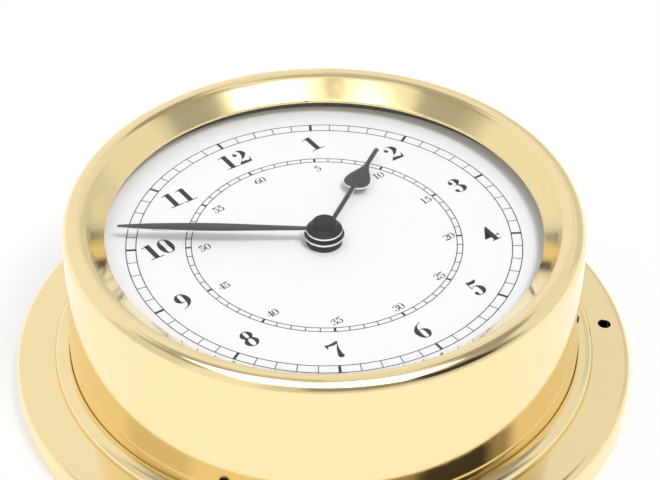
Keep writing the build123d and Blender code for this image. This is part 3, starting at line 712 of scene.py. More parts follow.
@dataclass
class DrumCase:
    """Brass drum whose front edge rolls over into the rim, with its seal and sprung ring."""

    rim_round: float = 2.8
    rim_wrap: float = 131.0
    bore: float = 49.5
    glass_fit: float = 0.1
    shoulder_height: float = 3.54        # of the polished ring's shoulder above the dial
    groove_depth: float = 1.05
    groove_half: float = 0.6
    snap_room: float = 0.1
    slot_half: float = 1.05
    slot_height: float = 1.85
    slot_angles: tuple[float, ...] = (30.0, 150.0, 270.0)
    soft_edge: float = 0.2
    rim_steps: int = 44

    def rim(self) -> list[Point]:
        """Gives the rim's rounding, from the drum's wall to the edge where the polished ring takes over."""
        rim_middle = (reach("drum_case") - self.rim_round, crown("drum_case") - self.rim_round)
        return arc(rim_middle, (self.rim_round, self.rim_round), 0, self.rim_wrap, self.rim_steps)

    def profile(self) -> list[Point]:
        """Gives the drum's section, from its foot over the rim to its bore."""
        radius, seat = reach("drum_case"), foot("drum_case")
        rim = self.rim()
        groove = middle("seal_ring").z
        glass_bore = reach("glass") + self.glass_fit
        snap = reach("dial_snap_ring") + self.snap_room
        shoulder = foot("reflector_ring") + self.shoulder_height
        inside = rounded([
            (rim[-1][0], crown("glass"), 0),
            (glass_bore, crown("glass"), 0),
            (glass_bore, shoulder, 0),
            (self.bore, shoulder, 0),
            (self.bore, crown("dial_snap_ring"), 0),
            (snap, crown("dial_snap_ring"), 0),
            (snap, foot("dial_snap_ring") - self.snap_room, 0),
            (self.bore, foot("dial_snap_ring") - self.snap_room, 0),
            (self.bore, seat, self.soft_edge),
            (radius, seat, self.soft_edge),
            (radius, groove - self.groove_half, 0),
            (radius - self.groove_depth, groove - self.groove_half, 0),
            (radius - self.groove_depth, groove + self.groove_half, 0),
            (radius, groove + self.groove_half, 0)])
        return guarded(rim + inside)

    def slot(self, angle: float) -> Workpiece:
        """Gives the cutter of one locating slot, open downwards and round at its top.

        Args:
            angle: The slot's place, in degrees from the right of the dial.

        Returns:
            The cutter.
        """
        seat = foot("drum_case")
        outline = [(-self.slot_half, -self.slot_height), (self.slot_half, -self.slot_height)]
        outline += arc((0, 0), (self.slot_half, self.slot_half), 0, 180, ARC_STEPS)
        depth = reach("drum_case") - self.bore
        tool = Workpiece().plate(outline, -depth, 3 * depth)
        lie = Matrix(((0, 0, 1, 0), (1, 0, 0, 0), (0, 1, 0, 0), (0, 0, 0, 1)))
        stand = Matrix.Translation((self.bore, 0, seat + self.slot_height))
        return tool.move(Matrix.Rotation(radians(angle), 4, "Z") @ stand @ lie)

    def build(self) -> None:
        """Makes the drum, cuts its slots and dresses it with its rings."""
        drum = Workpiece().turn(self.profile())
        for angle in self.slot_angles:
            drum.cut(self.slot(angle))
        drum.finish("brass_drum", Body.CASE, [BRASS], ["drum_case"])
        dress("seal_ring", RUBBER)
        dress("dial_snap_ring", STEEL)


@dataclass
class GlassAndRing:
    """Polished ring that runs on from the rim down to the dial, with the flat glass in it and their seals."""

    drum: DrumCase
    seam: float = 0.005                  # between the rim's edge and the ring
    slope_run: float = 3.62
    lip_height: float = 2.8              # of the ring's lower edge above the dial
    lip_round: float = 0.14
    foot_width: float = 1.6
    pane_gap: float = 0.03
    pane_edge: float = 0.03
    gasket_gap: float = 0.01
    seal_inset: float = 2.55             # of the black seal behind the ring's lower edge, which paints the shade under the lip
    seal_gap: float = 0.02

    def slope(self, height: float) -> float:
        """Gives the radius of the ring's slope at a height."""
        edge, top = self.drum.rim()[-1]
        return edge - (top - height) / tan(radians(self.drum.rim_wrap - 90))

    def build_glass(self) -> None:
        """Makes the pane, whose edge is ground to the ring's slope."""
        back, top = foot("glass"), crown("glass")
        pane = rounded([
            (0, back, 0),
            (self.slope(back) - self.pane_gap, back, self.pane_edge),
            (self.slope(top) - self.pane_gap, top, self.pane_edge),
            (0, top, 0)])
        glass = Workpiece().turn(guarded(pane, closed=False), closed=False)
        glass.finish("front_glass", Body.CASE, [GLASS], ["glass"])

    def build_ring(self) -> None:
        """Makes the ring, whose slope continues the rim's rounding."""
        edge, top = self.drum.rim()[-1]
        outer, face, neck = reach("reflector_ring"), foot("reflector_ring"), reach("glass")
        lip, under = edge - self.slope_run, face + self.lip_height
        lip_top = top - self.slope_run * tan(radians(self.drum.rim_wrap - 90))
        shoulder = face + self.drum.shoulder_height
        ring = rounded([
            (edge - self.seam, top - self.seam, 0),
            (lip, lip_top, self.lip_round),
            (lip, under, self.lip_round),
            (outer - self.foot_width, under, 0),
            (outer - self.foot_width, face, 0),
            (outer, face, 0),
            (outer, shoulder, 0),
            (neck, shoulder, 0),
            (neck, crown("glass") - self.seam, 0),
            (edge - self.seam, crown("glass") - self.seam, 0)])
        Workpiece().turn(guarded(ring)).finish("polished_ring", Body.CASE, [RING_BRASS], ["reflector_ring"])

    def build_seals(self) -> None:
        """Makes the thin seal round the ring's neck, and the black ring between the ring and the dial, a
        spacer that also paints the shade under the lip.
        """
        neck, face = reach("glass"), foot("reflector_ring")
        gasket = band(
            neck + self.gasket_gap, neck + self.drum.glass_fit - self.gasket_gap, foot("glass_gasket"),
            crown("glass_gasket"))
        Workpiece().turn(gasket).finish("neck_gasket", Body.CASE, [CLEAR_GASKET], ["glass_gasket"])
        lip, foot_inside = self.drum.rim()[-1][0] - self.slope_run, reach("reflector_ring") - self.foot_width
        # Black rubber under the lip: a spacer whose black also paints the shade that the overhang casts on
        # the dial.
        shade_band = band(
            lip + self.seal_inset, foot_inside - self.seal_gap, face + self.seal_gap,
            face + self.lip_height - self.seal_gap)
        Workpiece().turn(shade_band).finish("painted_shade_seal", Body.CASE, [RUBBER])

    def build(self) -> None:
        """Makes the glass, the ring and their seals."""
        self.build_glass()
        self.build_ring()
        self.build_seals()


@dataclass(frozen=True)
class Knot:
    """A point of a numeral's outline."""

    x: float
    y: float
    smooth: bool


def bend(x: float, y: float) -> Knot:
    """Gives a point that the outline passes smoothly."""
    return Knot(x, y, True)


def point(x: float, y: float) -> Knot:
    """Gives a corner of the outline."""
    return Knot(x, y, False)


Outline = list[Knot]


@dataclass(frozen=True)
class NumeralStyle:
    """Upright numerals with thick stems, hairlines and ball ends, drawn in shares of their height."""

    height: float
    stem_share: float
    hair_share: float
    ball_share: float
    advance_share: float
    width_share: float = 0.66
    curve_steps: int = 8

    def oval(self, left: float, right: float, low: float, high: float) -> Outline:
        """Gives an oval by its four sides."""
        across, up = (left + right) / 2, (low + high) / 2
        return [bend(left, up), bend(across, high), bend(right, up), bend(across, low)]

    def digit(self, value: int) -> list[Outline]:
        """Gives the outer outline of a digit, and any holes."""
        drawings = (
            self.nought, self.one, self.two, self.three, self.four, self.five, self.six, self.seven,
            self.eight, self.nine)
        return drawings[value]()

    def nought(self) -> list[Outline]:
        """Draws 0."""
        stem, hair = self.stem_share, self.hair_share
        return [self.oval(0, 0.67, 0, 1), self.oval(stem, 0.67 - stem, hair, 1 - hair)]

    def one(self) -> list[Outline]:
        """Draws 1."""
        stem, hair = self.stem_share, self.hair_share
        left, right = 0.345 - stem / 2, 0.345 + stem / 2
        return [[
            point(0.02, 0), point(0.67, 0), point(0.67, hair), point(right, 1.6 * hair), point(right, 1),
            point(left + 0.06, 1), bend(left - 0.03, 0.955), point(0.05, 0.935), point(0.05, 0.935 - hair),
            point(left, 0.935 - hair), point(left, 1.6 * hair), point(0.02, hair)]]

    def two(self) -> list[Outline]:
        """Draws 2."""
        stem, hair, ball = self.stem_share, self.hair_share, self.ball_share
        left = 0.045
        return [[
            bend(left, 0.74), bend(0.34, 1), bend(0.65, 0.74), bend(0.47, 0.45), bend(0.2, 0.21),
            bend(0.36, 0.19), bend(0.52, 0.145), point(0.635, 0.33), point(0.67, 0.32), point(0.61, 0),
            point(0, 0), point(0, 0.05), bend(0.28, 0.38), bend(0.65 - stem, 0.74), bend(0.33, 1 - hair),
            bend(left + ball, 0.9), bend(left + 2 * ball, 0.745), bend(left + ball, 0.745 - ball)]]

    def three(self) -> list[Outline]:
        """Draws 3."""
        stem, hair, ball = self.stem_share, self.hair_share, self.ball_share
        high, low = 0.055, 0.03
        return [[
            bend(high, 0.745), bend(0.33, 1), bend(0.605, 0.77), point(0.43, 0.53), bend(0.655, 0.265),
            bend(0.32, 0), bend(low, 0.19), bend(low + ball, 0.19 + ball), bend(low + 2 * ball, 0.19),
            bend(low + 1.6 * ball, 0.08), bend(0.31, hair), bend(0.655 - stem, 0.265), bend(0.33, 0.51),
            point(0.19, 0.51), point(0.19, 0.51 + hair), bend(0.33, 0.55), bend(0.605 - stem, 0.775),
            bend(0.32, 1 - hair), bend(high + 1.3 * ball, 0.9), bend(high + 2 * ball, 0.75),
            bend(high + ball, 0.75 - ball)]]

    def four(self) -> list[Outline]:
        """Draws 4."""
        stem, hair = self.stem_share, self.hair_share
        left, right = 0.545 - stem, 0.545
        bar, over = 0.265, 0.265 + 1.3 * hair
        return [
            [point(right - 0.07, 1), point(right, 1), point(right, over), point(0.66, over),
             point(0.685, 0.39), point(0.715, 0.39), point(0.715, 0.2), point(0.685, 0.2), point(0.66, bar),
             point(right, bar), point(right, 1.5 * hair), point(right + 0.11, hair), point(right + 0.11, 0),
             point(left - 0.11, 0), point(left - 0.11, hair), point(left, 1.5 * hair), point(left, bar),
             point(0, bar), point(0, over)],
            [point(0.055, over), point(left, over), point(left, 0.79)]]

    def five(self) -> list[Outline]:
        """Draws 5."""
        stem, hair, ball = self.stem_share, self.hair_share, self.ball_share
        left = 0.02
        return [[
            point(0.095, 1), bend(0.3, 0.97), point(0.59, 1), bend(0.49, 0.835), bend(0.33, 0.79),
            point(0.1 + hair, 0.81), point(0.1 + hair, 0.575), bend(0.33, 0.645), bend(0.63, 0.335),
            bend(0.3, 0), bend(left, 0.19), bend(left + ball, 0.19 + ball), bend(left + 2 * ball, 0.19),
            bend(left + 1.7 * ball, 0.09), bend(0.29, hair), bend(0.63 - stem, 0.33), bend(0.3, 0.645 - hair),
            point(0.095, 0.5)]]

    def six(self) -> list[Outline]:
        """Draws 6."""
        stem, hair = self.stem_share, self.hair_share
        return [
            [point(0.57, 1), bend(0.18, 0.8), bend(0, 0.42), bend(0.32, 0), bend(0.645, 0.31), bend(0.4, 0.6),
             point(stem, 0.52), bend(0.33, 0.83), point(0.57, 1 - hair)],
            self.oval(stem, 0.645 - 0.9 * stem, hair, 0.6 - hair)]

    def seven(self) -> list[Outline]:
        """Draws 7."""
        stem, hair = self.stem_share, self.hair_share
        half = stem / 2
        return [[
            point(0, 1), point(hair, 1), bend(0.17, 0.965), bend(0.4, 0.975), point(0.615, 1),
            point(0.615, 0.96), bend(0.46, 0.6), bend(0.27 + half, 0.2), bend(0.275 + half, 0.07),
            bend(0.275, 0), bend(0.275 - half, 0.07), bend(0.25, 0.4), point(0.52, 0.835),
            bend(0.33, 0.815), bend(0.12, 0.85), point(hair, 0.74), point(0, 0.74)]]

    def eight(self) -> list[Outline]:
        """Draws 8."""
        stem, hair = self.stem_share, self.hair_share
        inner = 0.85 * stem
        return [
            [bend(0.318, 1), bend(0.6, 0.77), point(0.5, 0.535), bend(0.635, 0.265), bend(0.318, 0),
             bend(0, 0.265), point(0.135, 0.535), bend(0.036, 0.77)],
            self.oval(0.036 + inner, 0.6 - inner, 0.565, 1 - hair),
            self.oval(inner, 0.635 - inner, hair, 0.505)]

    def nine(self) -> list[Outline]:
        """Draws 9, which is 6 turned upside down."""
        return [[Knot(0.645 - knot.x, 1 - knot.y, knot.smooth) for knot in outline] for outline in self.six()]

    def flat_mesh(self, number: int, thickness: float) -> bpy.types.Mesh:
        """Makes a number as a thin flat mesh, centred on the origin.

        Args:
            number: The number to draw.
            thickness: Its thickness.

        Returns:
            The mesh, in millimetres.
        """
        curve = bpy.data.curves.new(f"number_{number}", "CURVE")
        curve.dimensions = "2D"
        curve.fill_mode = "BOTH"
        curve.extrude = thickness / 2
        curve.resolution_u = self.curve_steps
        width = self.advance_share * len(str(number))
        for place, digit in enumerate(str(number)):
            start = place * self.advance_share - width / 2 + (self.advance_share - self.width_share) / 2
            for outline in self.digit(int(digit)):
                spline = curve.splines.new("BEZIER")
                spline.bezier_points.add(len(outline) - 1)
                spline.use_cyclic_u = True
                for knot, made in zip(outline, spline.bezier_points):
                    made.co = ((knot.x + start) * self.height, (knot.y - 0.5) * self.height, 0)
                    made.handle_left_type = made.handle_right_type = "AUTO" if knot.smooth else "VECTOR"
        drawing = bpy.data.objects.new(curve.name, curve)
        bpy.context.scene.collection.objects.link(drawing)
        graph = bpy.context.evaluated_depsgraph_get()
        mesh = bpy.data.meshes.new_from_object(drawing.evaluated_get(graph))
        bpy.data.objects.remove(drawing)
        bpy.data.curves.remove(curve)
        return mesh


@dataclass(frozen=True)
class Track:
    """Ring of minute marks between two printed circles."""

    name: str
    inner: float
    outer: float
    circle_line: float
    thin_line: float
    thick_line: float


@dataclass
class Dial:
    """White dial plate and what is printed on it."""

    hole: float = 2.9
    soft_edge: float = 0.08
    ink_thickness: float = 0.03
    ink_sink: float = 0.01               # how far the print reaches into the paint
    hour_radius: float = 32.7
    minute_radius: float = 24.2
    minute_shift: Point = (0.4, -0.4)
    hours: NumeralStyle = NumeralStyle(4.55, 0.235, 0.036, 0.095, 0.71)
    minutes: NumeralStyle = NumeralStyle(1.8, 0.17, 0.045, 0.085, 0.66)
    tracks: tuple[Track, ...] = (
        Track("outer_track", 37.2, 39.2, 0.19, 0.17, 0.55),
        Track("inner_track", 26.3, 27.4, 0.18, 0.19, 0.48))

    def build(self) -> None:
        """Makes the plate, the tracks and the numbers."""
        radius, back, face = reach("dial"), foot("dial"), crown("dial")
        plate = rounded([
            (self.hole, back, 0), (radius, back, self.soft_edge), (radius, face, self.soft_edge),
            (self.hole, face, self.soft_edge)])
        Workpiece().turn(guarded(plate)).finish("dial_plate", Body.CASE, [DIAL_WHITE], ["dial"])
        for track in self.tracks:
            self.build_track(track)
        hour_places = [(hour, self.around(hour, self.hour_radius)) for hour in range(1, 13)]
        shift = Vector((*self.minute_shift, 0))
        minute_places = [(5 * hour, self.around(hour, self.minute_radius) + shift) for hour in range(1, 13)]
        self.build_numbers("hour_numbers", self.hours, hour_places)
        self.build_numbers("minute_numbers", self.minutes, minute_places)

    def around(self, hour: float, radius: float) -> Vector:
        """Gives the place of an hour on the dial."""
        angle = radians(90 - 30 * hour)
        return Vector((radius * cos(angle), radius * sin(angle), 0))

    def ink_base(self) -> float:
        """Gives the height of the print's underside."""
        return crown("dial") - self.ink_sink

    def build_track(self, track: Track) -> None:
        """Prints two circles and sixty marks.

        Args:
            track: The track to print.
        """
        low, high = self.ink_base(), self.ink_base() + self.ink_thickness
        print_work = Workpiece()
        half = track.circle_line / 2
        for radius in (track.inner, track.outer):
            print_work.add(Workpiece().turn(band(radius - half, radius + half, low, high)))
        for minute in range(60):
            width = track.thick_line if minute % 5 == 0 else track.thin_line
            mark = Workpiece()
            bmesh.ops.create_cube(mark.mesh, size=1)
            lie = Matrix.Rotation(-tau * minute / 60, 4, "Z")
            stand = Matrix.Translation((0, (track.inner + track.outer) / 2, (low + high) / 2))
            size = Matrix.Diagonal((width, track.outer - track.inner, high - low, 1))
            print_work.add(mark.move(lie @ stand @ size))
        print_work.finish(track.name, Body.CASE, [INK])

    def build_numbers(self, name: str, style: NumeralStyle, places: Sequence[tuple[int, Vector]]) -> None:
        """Prints a ring of upright numbers.

        Args:
            name: The piece's name.
            style: How the numbers are drawn.
            places: Each number and the place of its middle.
        """
        print_work = Workpiece()
        for number, place in places:
            flat = style.flat_mesh(number, self.ink_thickness)
            flat.transform(Matrix.Translation((place.x, place.y, self.ink_base() + self.ink_thickness / 2)))
            print_work.mesh.from_mesh(flat)
            bpy.data.meshes.remove(flat)
        print_work.finish(name, Body.CASE, [INK])


@dataclass
class Hands:
    """The two hands, the cap that holds them and the nut under them."""

    level_slope: float = 0.6             # least upward share of a lacquered face's normal
    blade: float = 0.4
    edge: float = 0.06
    lift: float = 0.03                   # of a blade above its boss's underside
    minute_angle: float = 305.4
    minute_boss: float = 3.6
    minute_length: float = 40.9
    minute_width: float = 2.55
    minute_shares: tuple[Point, ...] = (
        (0.0, 0.39), (0.27, 0.72), (0.54, 1.0), (0.78, 0.82), (0.905, 0.57), (0.985, 0.31))
    minute_steps: int = 6
    hour_angle: float = 55.45
    hour_boss: float = 4.0
    hour_slit: float = 0.4
    hour_length: float = 30.3
    stem: float = 1.0
    pear_start: float = 16.1
    pear_widest: float = 18.3
    pear_end: float = 24.8
    pear_width: float = 5.3
    boss_edge: float = 0.1
    minute_bore: float = 0.82
    hour_bore: float = 1.72
    cap_edge: float = 0.15
    cap_skirt: float = 0.9
    cap_head: float = 2.5
    cap_round: float = 0.6
    cap_lip: float = 0.03
    cap_waist: float = 0.12
    cap_bore: float = 0.82
    nut_radius: float = 3.6
    nut_bore: float = 2.82
    nut_edge: float = 0.2

    def minute_outline(self) -> list[Point]:
        """Gives the leaf-shaped blade, pointing to 12."""
        side = flowing([(share * self.minute_width / 2, along * self.minute_length)
                        for along, share in self.minute_shares], self.minute_steps)
        tip = side[-1]
        point_round = arc((0, tip[1]), (tip[0], self.minute_length - tip[1]), 0, 180, TIP_STEPS)
        return side[:-1] + point_round + [(-x, y) for x, y in reversed(side[:-1])]

    def hour_outline(self) -> list[Point]:
        """Gives the stem with its pear-shaped swelling, pointing to 12."""
        half, wide = self.stem / 2, self.pear_width / 2
        radii = (wide - half, self.pear_widest - self.pear_start)
        lower = arc((half, self.pear_widest), radii, -90, 0, ARC_STEPS)
        rise = self.pear_end - self.pear_widest
        upper = []
        for step in range(1, ARC_STEPS + 1):
            share = step / ARC_STEPS
            upper.append((half + (wide - half) * (1 + cos(pi * share)) / 2, self.pear_widest + rise * share))
        tip = arc((0, self.hour_length - half), (half, half), 0, 180, TIP_STEPS)
        side = [(half, 0)] + lower + upper
        return side + tip + [(-x, y) for x, y in reversed(side)]

    def boss(self, radius: float, bore: float, low: float, high: float, slit: float = 0.0) -> Workpiece:
        """Gives a drilled disc with soft edges.

        Args:
            radius: Its radius.
            bore: Radius of its hole.
            low: Height of its underside.
            high: Height of its top.
            slit: Width of the slit on its right, which lets it grip its pipe.

        Returns:
            The disc.
        """
        section = rounded([
            (bore, low, 0), (radius, low, self.boss_edge), (radius, high, self.boss_edge), (bore, high, 0)])
        disc = Workpiece().turn(section, SMALL_TURNING_STEPS)
        if slit:
            saw = Workpiece()
            bmesh.ops.create_cube(saw.mesh, size=1)
            size = Matrix.Diagonal((radius, slit, 2 * (high - low), 1))
            disc.cut(saw.move(Matrix.Translation((bore / 2 + radius / 2, 0, (low + high) / 2)) @ size))
        return disc

    def paint(self, face: bpy.types.MeshPolygon) -> int:
        """Gives black lacquer to level faces and bare metal to the edges."""
        return 0 if abs(face.normal.z) > self.level_slope else 1

    def build_hand(
            self, name: str, node: str, body: Body, outline: Sequence[Point], angle: float, radius: float,
            bore: float, slit: float) -> None:
        """Makes one hand.

        Args:
            name: The piece's name.
            node: The CAD node that it stands for.
            body: The body that it rides on.
            outline: Its blade, pointing to 12.
            angle: Where it points, in degrees clockwise from 12.
            radius: Its boss's radius.
            bore: Its boss's bore.
            slit: Width of the slit in its boss.
        """
        base = foot(node)
        start = radius / 2
        blade = [(x, max(y, start)) for x, y in outline]
        pairs = zip(blade, blade[1:] + blade[:1])
        kept = [p for p, q in pairs if (Vector(p) - Vector(q)).length > self.edge / 10]
        hand = Workpiece().plate(kept, base + self.lift, self.blade, self.edge)
        hand.add(self.boss(radius, bore, base, crown(node), slit))
        hand.move(Matrix.Rotation(-radians(angle), 4, "Z"))
        hand.finish(name, body, [HAND_BLACK, BARE_EDGE], [node], choose=self.paint)

    def build(self) -> None:
        """Makes both hands, the cap and the nut."""
        self.build_hand("leaf_hand", "minute_hand", Body.MINUTE, self.minute_outline(), self.minute_angle,
                        self.minute_boss, self.minute_bore, 0.0)
        self.build_hand("pear_hand", "hour_hand", Body.HOUR, self.hour_outline(), self.hour_angle,
                        self.hour_boss, self.hour_bore, self.hour_slit)
        low, high, skirt = foot("hand_nut"), crown("hand_nut"), reach("hand_nut")
        section = rounded([
            (self.cap_bore, low, 0),
            (skirt, low, self.cap_lip),
            (skirt, low + self.cap_edge, self.cap_lip),
            (self.cap_head, low + self.cap_skirt, self.cap_waist),
            (self.cap_head, high, self.cap_round),
            (0, high, 0),
            (0, high - self.cap_edge, 0),
            (self.cap_bore, high - self.cap_edge, 0)])
        cap = Workpiece().turn(section, SMALL_TURNING_STEPS, closed=False)
        cap.finish("hand_cap", Body.MINUTE, [CAP_BLACK], ["hand_nut"])
        low, high = foot("centre_nut"), crown("centre_nut")
        section = rounded([
            (self.nut_bore, low, 0), (self.nut_radius, low, self.nut_edge / 2),
            (self.nut_radius, high, self.nut_edge), (self.nut_bore, high, 0)])
        nut = Workpiece().turn(section, SMALL_TURNING_STEPS)
        nut.finish("round_nut", Body.CASE, [CAP_BLACK], ["centre_nut"])


@dataclass
class Movement:
    """Quartz movement behind the dial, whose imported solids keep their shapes."""

    finishes: dict[str, Finish] = field(default_factory=lambda: {
        "rubber_washer": RUBBER, "movement_front": SHELL, "movement_back": SHELL, "cover_screws": STEEL,
        "train_plate": SHELL, "minute_arbor": ARBOR_STEEL, "centre_wheel": WHEEL, "hour_wheel": WHEEL,
        "minute_wheel": WHEEL, "setting_knob": KNOB, "third_wheel": WHEEL, "seconds_wheel": WHEEL,
        "intermediate_wheel": WHEEL, "rotor": MAGNET, "stator": STEEL, "coil_core": STEEL,
        "coil_bobbin": WHEEL, "coil_winding": COPPER, "circuit_board": BOARD, "quartz_crystal": CAN,
        "contact_plus": NICKEL, "contact_minus": NICKEL})
    sleeve: Banded = Banded("battery_sleeve", "battery_label", border=12.0)

    def build(self) -> None:
        """Dresses the movement."""
        for node, finish in self.finishes.items():
            dress(node, finish)
        dress("battery", self.sleeve)


@dataclass(frozen=True)
class Panel:
    """A bright or dark part of the studio's walls, which the polished metal mirrors."""

    azimuth: Point                       # from and to, in degrees to the right of the camera
    elevation: Point                     # from and to, in degrees above the floor
    level: float                         # 1 is white
    soft: float = 6.0                    # width of its edges in degrees


@dataclass
class Studio:
    """Floor, light and camera."""

    floor_size: float = 6.0
    floor_drop: float = 0.00002
    floor_colour: Colour = (0.36, 0.36, 0.36, 1)
    floor_shade: Colour = (0.355, 0.355, 0.355, 1)
    floor_glow: float = 0.62
    floor_shine: float = 0.09            # extra glow in the metal
    floor_grain: float = 40.0
    sky_strength: float = 0.66
    wall_level: float = 0.95
    panels: tuple[Panel, ...] = (
        Panel((95, 200), (-20, 110), 0.88, 16),
        Panel((125, 170), (-10, 30), 0.74, 8),
        Panel((-200, 200), (76, 110), 0.56, 10),
        Panel((-200, -140), (60, 80), 0.64, 10),
        Panel((-145, -80), (58, 78), 0.47, 10),
        Panel((-94, -58), (8, 60), 0.78, 8),
        Panel((-104, -60), (45, 66), 0.44, 8),
        Panel((80, 160), (50, 66), 0.38, 6),
        Panel((-24, 90), (9, 50), 0.72, 12),
        Panel((66, 100), (43, 66), 0.46, 8),
        Panel((-8, 88), (22, 47), 0.33, 10),
        Panel((40, 76), (24, 48), 0.05, 10))
    softbox_size: Point = (0.26, 0.172)
    softbox_middle: Point = (0.0, -0.114)    # to the right, and away from the camera
    softbox_height: float = 0.21
    softbox_level: float = 3.0
    softbox_edge: float = 0.014
    shade_middle: Point = (-0.007, -0.041)
    shade_radius: float = 0.036
    shade_level: float = 0.7
    key_strength: float = 1.5
    key_angle: float = 18.0
    key_azimuth: float = 47.0            # to the right of the camera
    key_elevation: float = 63.0
    image_width: float = 660.0
    focal_pixels: float = 2607.0
    sensor: float = 36.0
    azimuth: float = -34.54
    elevation: float = 38.578
    distance: float = 0.5157
    roll: float = 0.258
    dial_pixel: Point = (324.29, 241.65)
    middle_pixel: Point = (330.0, 240.0)

    def sheet(
            self, name: str, material: bpy.types.Material, size: Point, middle: Corner,
            stand: Matrix) -> bpy.types.Object:
        """Makes a flat sheet that belongs to the studio and not to the clock.

        Args:
            name: Its name.
            material: Its material.
            size: Its width and depth.
            middle: Place of its middle, before it is stood up.
            stand: Turn and place of the whole sheet.

        Returns:
            The sheet.
        """
        mesh = bmesh.new()
        bmesh.ops.create_grid(mesh, x_segments=1, y_segments=1, size=0.5)
        lay = Matrix.Translation(middle) @ Matrix.Diagonal((*size, 1, 1))
        bmesh.ops.transform(mesh, matrix=lay, verts=mesh.verts)
        data = bpy.data.meshes.new(name)
        mesh.to_mesh(data)
        mesh.free()
        data.materials.append(material)
        sheet = bpy.data.objects.new(name, data)
        sheet.matrix_world = stand
        bpy.context.scene.collection.objects.link(sheet)
        return sheet

    def build_floor(self) -> None:
        """Lays the pale floor, which reads as white in view and in the metal, and keeps the shadow."""
        bench = NodeBench("pale_floor")
        grain = bench.spread(bench.noise(bench.place(), self.floor_grain, CLOUD_DETAIL), 0, 1)
        matt = bench.add("BsdfDiffuse", {"Color": bench.blend(grain, self.floor_colour, self.floor_shade)})
        rays = bench.add("LightPath").outputs
        seen = bench.sum_of("MAXIMUM", rays["Is Camera Ray"], rays["Is Glossy Ray"])
        seen = bench.sum_of("MAXIMUM", seen, rays["Is Transmission Ray"])
        shine = bench.sum_of("MULTIPLY", rays["Is Glossy Ray"], self.floor_shine)
        level = bench.sum_of("ADD", bench.sum_of("MULTIPLY", seen, self.floor_glow), shine)
        glow = bench.add("Emission", {"Strength": level})
        both = bench.add("AddShader", {0: matt.outputs[0], 1: glow.outputs[0]})
        size = (self.floor_size, self.floor_size)
        floor = self.sheet("floor", bench.surface(both), size, (0, 0, -self.floor_drop), Matrix())

    def build_walls(self) -> None:
        """Surrounds the clock with pale walls, whose panels show in the polished metal."""
        bench = NodeBench("studio", world=True)
        bpy.context.scene.world = bench.material
        towards = bench.add("TexCoord").outputs["Generated"]
        sockets = {"Vector": towards, "Angle": -radians(self.azimuth)}
        turned = bench.add("VectorRotate", sockets, rotation_type="Z_AXIS")
        parts = bench.add("SeparateXYZ", {0: turned.outputs["Vector"]}).outputs
        ahead = bench.sum_of("MULTIPLY", parts["Y"], -1.0)
        azimuth = bench.sum_of("MULTIPLY", bench.sum_of("ARCTAN2", parts["X"], ahead), degrees(1))
        elevation = bench.sum_of("MULTIPLY", bench.sum_of("ARCSINE", parts["Z"]), degrees(1))
        level: Any = self.wall_level
        for panel in self.panels:
            share: Any = 1.0
            for value, (start, end) in ((azimuth, panel.azimuth), (elevation, panel.elevation)):
                inside = bench.step(value, start - panel.soft / 2, start + panel.soft / 2)
                past = bench.step(value, end - panel.soft / 2, end + panel.soft / 2)
                inside = bench.sum_of("MULTIPLY", inside, bench.sum_of("SUBTRACT", 1.0, past))
                share = bench.sum_of("MULTIPLY", inside, share)
            level = bench.blend(share, level, panel.level, "Float")
        rays = bench.add("LightPath").outputs
        mirrored = bench.sum_of("MAXIMUM", rays["Is Glossy Ray"], rays["Is Transmission Ray"])
        strength = bench.blend(mirrored, self.sky_strength, level, "Float")
        strength = bench.blend(rays["Is Camera Ray"], strength, 1.0, "Float")
        bench.surface(bench.add("Background", {"Strength": strength, "Color": (1, 1, 1, 1)}))

    def build_softbox(self) -> None:
        """Hangs the softbox, which only the polished metal shows."""
        bench = NodeBench("softbox")
        place = bench.place()
        parts = bench.add("SeparateXYZ", {0: place}).outputs
        share: Any = 1.0
        for value, middle, size in zip((parts["X"], parts["Y"]), self.softbox_middle, self.softbox_size):
            off = bench.sum_of("ABSOLUTE", bench.sum_of("SUBTRACT", value, middle))
            past = bench.step(off, size / 2 - self.softbox_edge, size / 2)
            share = bench.sum_of("MULTIPLY", bench.sum_of("SUBTRACT", 1.0, past), share)
        spot = bench.add("VectorMath", {0: place, 1: (*self.shade_middle, 0)}, operation="DISTANCE")
        clear_of = bench.step(spot.outputs["Value"], 0, self.shade_radius)
        level = bench.blend(clear_of, self.shade_level, self.softbox_level, "Float")
        glow = bench.add("Emission", {"Strength": level})
        clear = bench.add("BsdfTransparent")
        both = bench.add("MixShader", {0: share, 1: clear.outputs[0], 2: glow.outputs[0]})
        height = Matrix.Translation((0, 0, self.softbox_height))
        stand = height @ Matrix.Rotation(radians(self.azimuth), 4, "Z")
        middle = (*self.softbox_middle, 0)
        softbox = self.sheet("softbox", bench.surface(both), self.softbox_size, middle, stand)
        softbox.visible_camera = False
        softbox.visible_diffuse = False
        softbox.visible_shadow = False

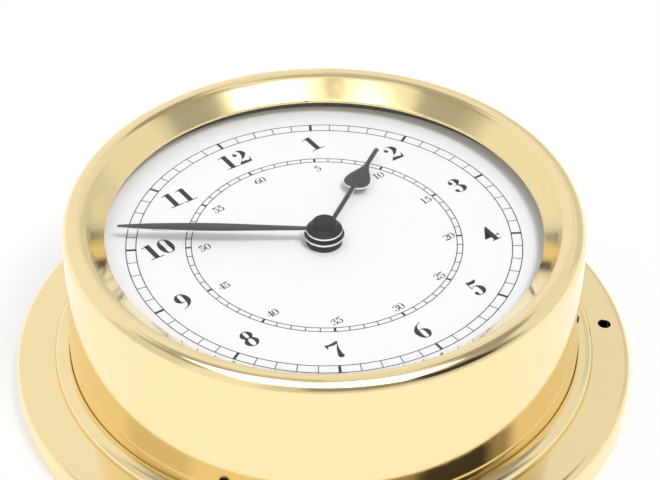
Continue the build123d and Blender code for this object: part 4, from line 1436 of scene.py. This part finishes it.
    def build_key(self) -> None:
        """Adds the one soft lamp that casts the hands' shadows."""
        lamp = bpy.data.lights.new("key_lamp", "SUN")
        lamp.energy = self.key_strength
        lamp.angle = radians(self.key_angle)
        hung = bpy.data.objects.new("key_lamp", lamp)
        a, e = radians(self.azimuth + self.key_azimuth), radians(self.key_elevation)
        towards = Vector((sin(a) * cos(e), -cos(a) * cos(e), sin(e)))
        hung.matrix_world = Matrix.Translation(towards) @ towards.to_track_quat("Z", "Y").to_matrix().to_4x4()
        hung.visible_camera = False
        hung.visible_glossy = False
        bpy.context.scene.collection.objects.link(hung)

    def build_camera(self) -> None:
        """Sets the camera where the photograph was taken from."""
        a, e, r = radians(self.azimuth), radians(self.elevation), radians(self.roll)
        back = Vector((sin(a) * cos(e), -cos(a) * cos(e), sin(e)))
        level = Vector((cos(a), sin(a), 0))
        upright = back.cross(level)
        right = level * cos(r) + upright * sin(r)
        up = upright * cos(r) - level * sin(r)
        data = bpy.data.cameras.new("camera")
        data.sensor_width = self.sensor
        data.lens = self.focal_pixels / self.image_width * self.sensor
        data.shift_x = (self.middle_pixel[0] - self.dial_pixel[0]) / self.image_width
        data.shift_y = (self.dial_pixel[1] - self.middle_pixel[1]) / self.image_width
        data.clip_start = self.distance / 100
        camera = bpy.data.objects.new("camera", data)
        target = Vector((0, 0, crown("dial") * MM))
        turn = Matrix((right, up, back)).transposed().to_4x4()
        camera.matrix_world = Matrix.Translation(target + back * self.distance) @ turn
        bpy.context.scene.collection.objects.link(camera)
        bpy.context.scene.camera = camera

    def build(self) -> None:
        """Makes the studio."""
        bpy.context.scene.view_settings.view_transform = "Standard"
        self.build_floor()
        self.build_walls()
        self.build_softbox()
        self.build_key()
        self.build_camera()


def main() -> None:
    """Builds the clock's sub-assemblies in order, and the studio round them."""
    logging.basicConfig(level=logging.INFO, format="%(name)s: %(message)s")
    drum = DrumCase()
    for assembly in (WallFlange(), drum, GlassAndRing(drum), Dial(), Hands(), Movement(), Studio()):
        assembly.build()
        LOG.info("%s done", type(assembly).__name__)


if __name__ == "__main__":
    main()
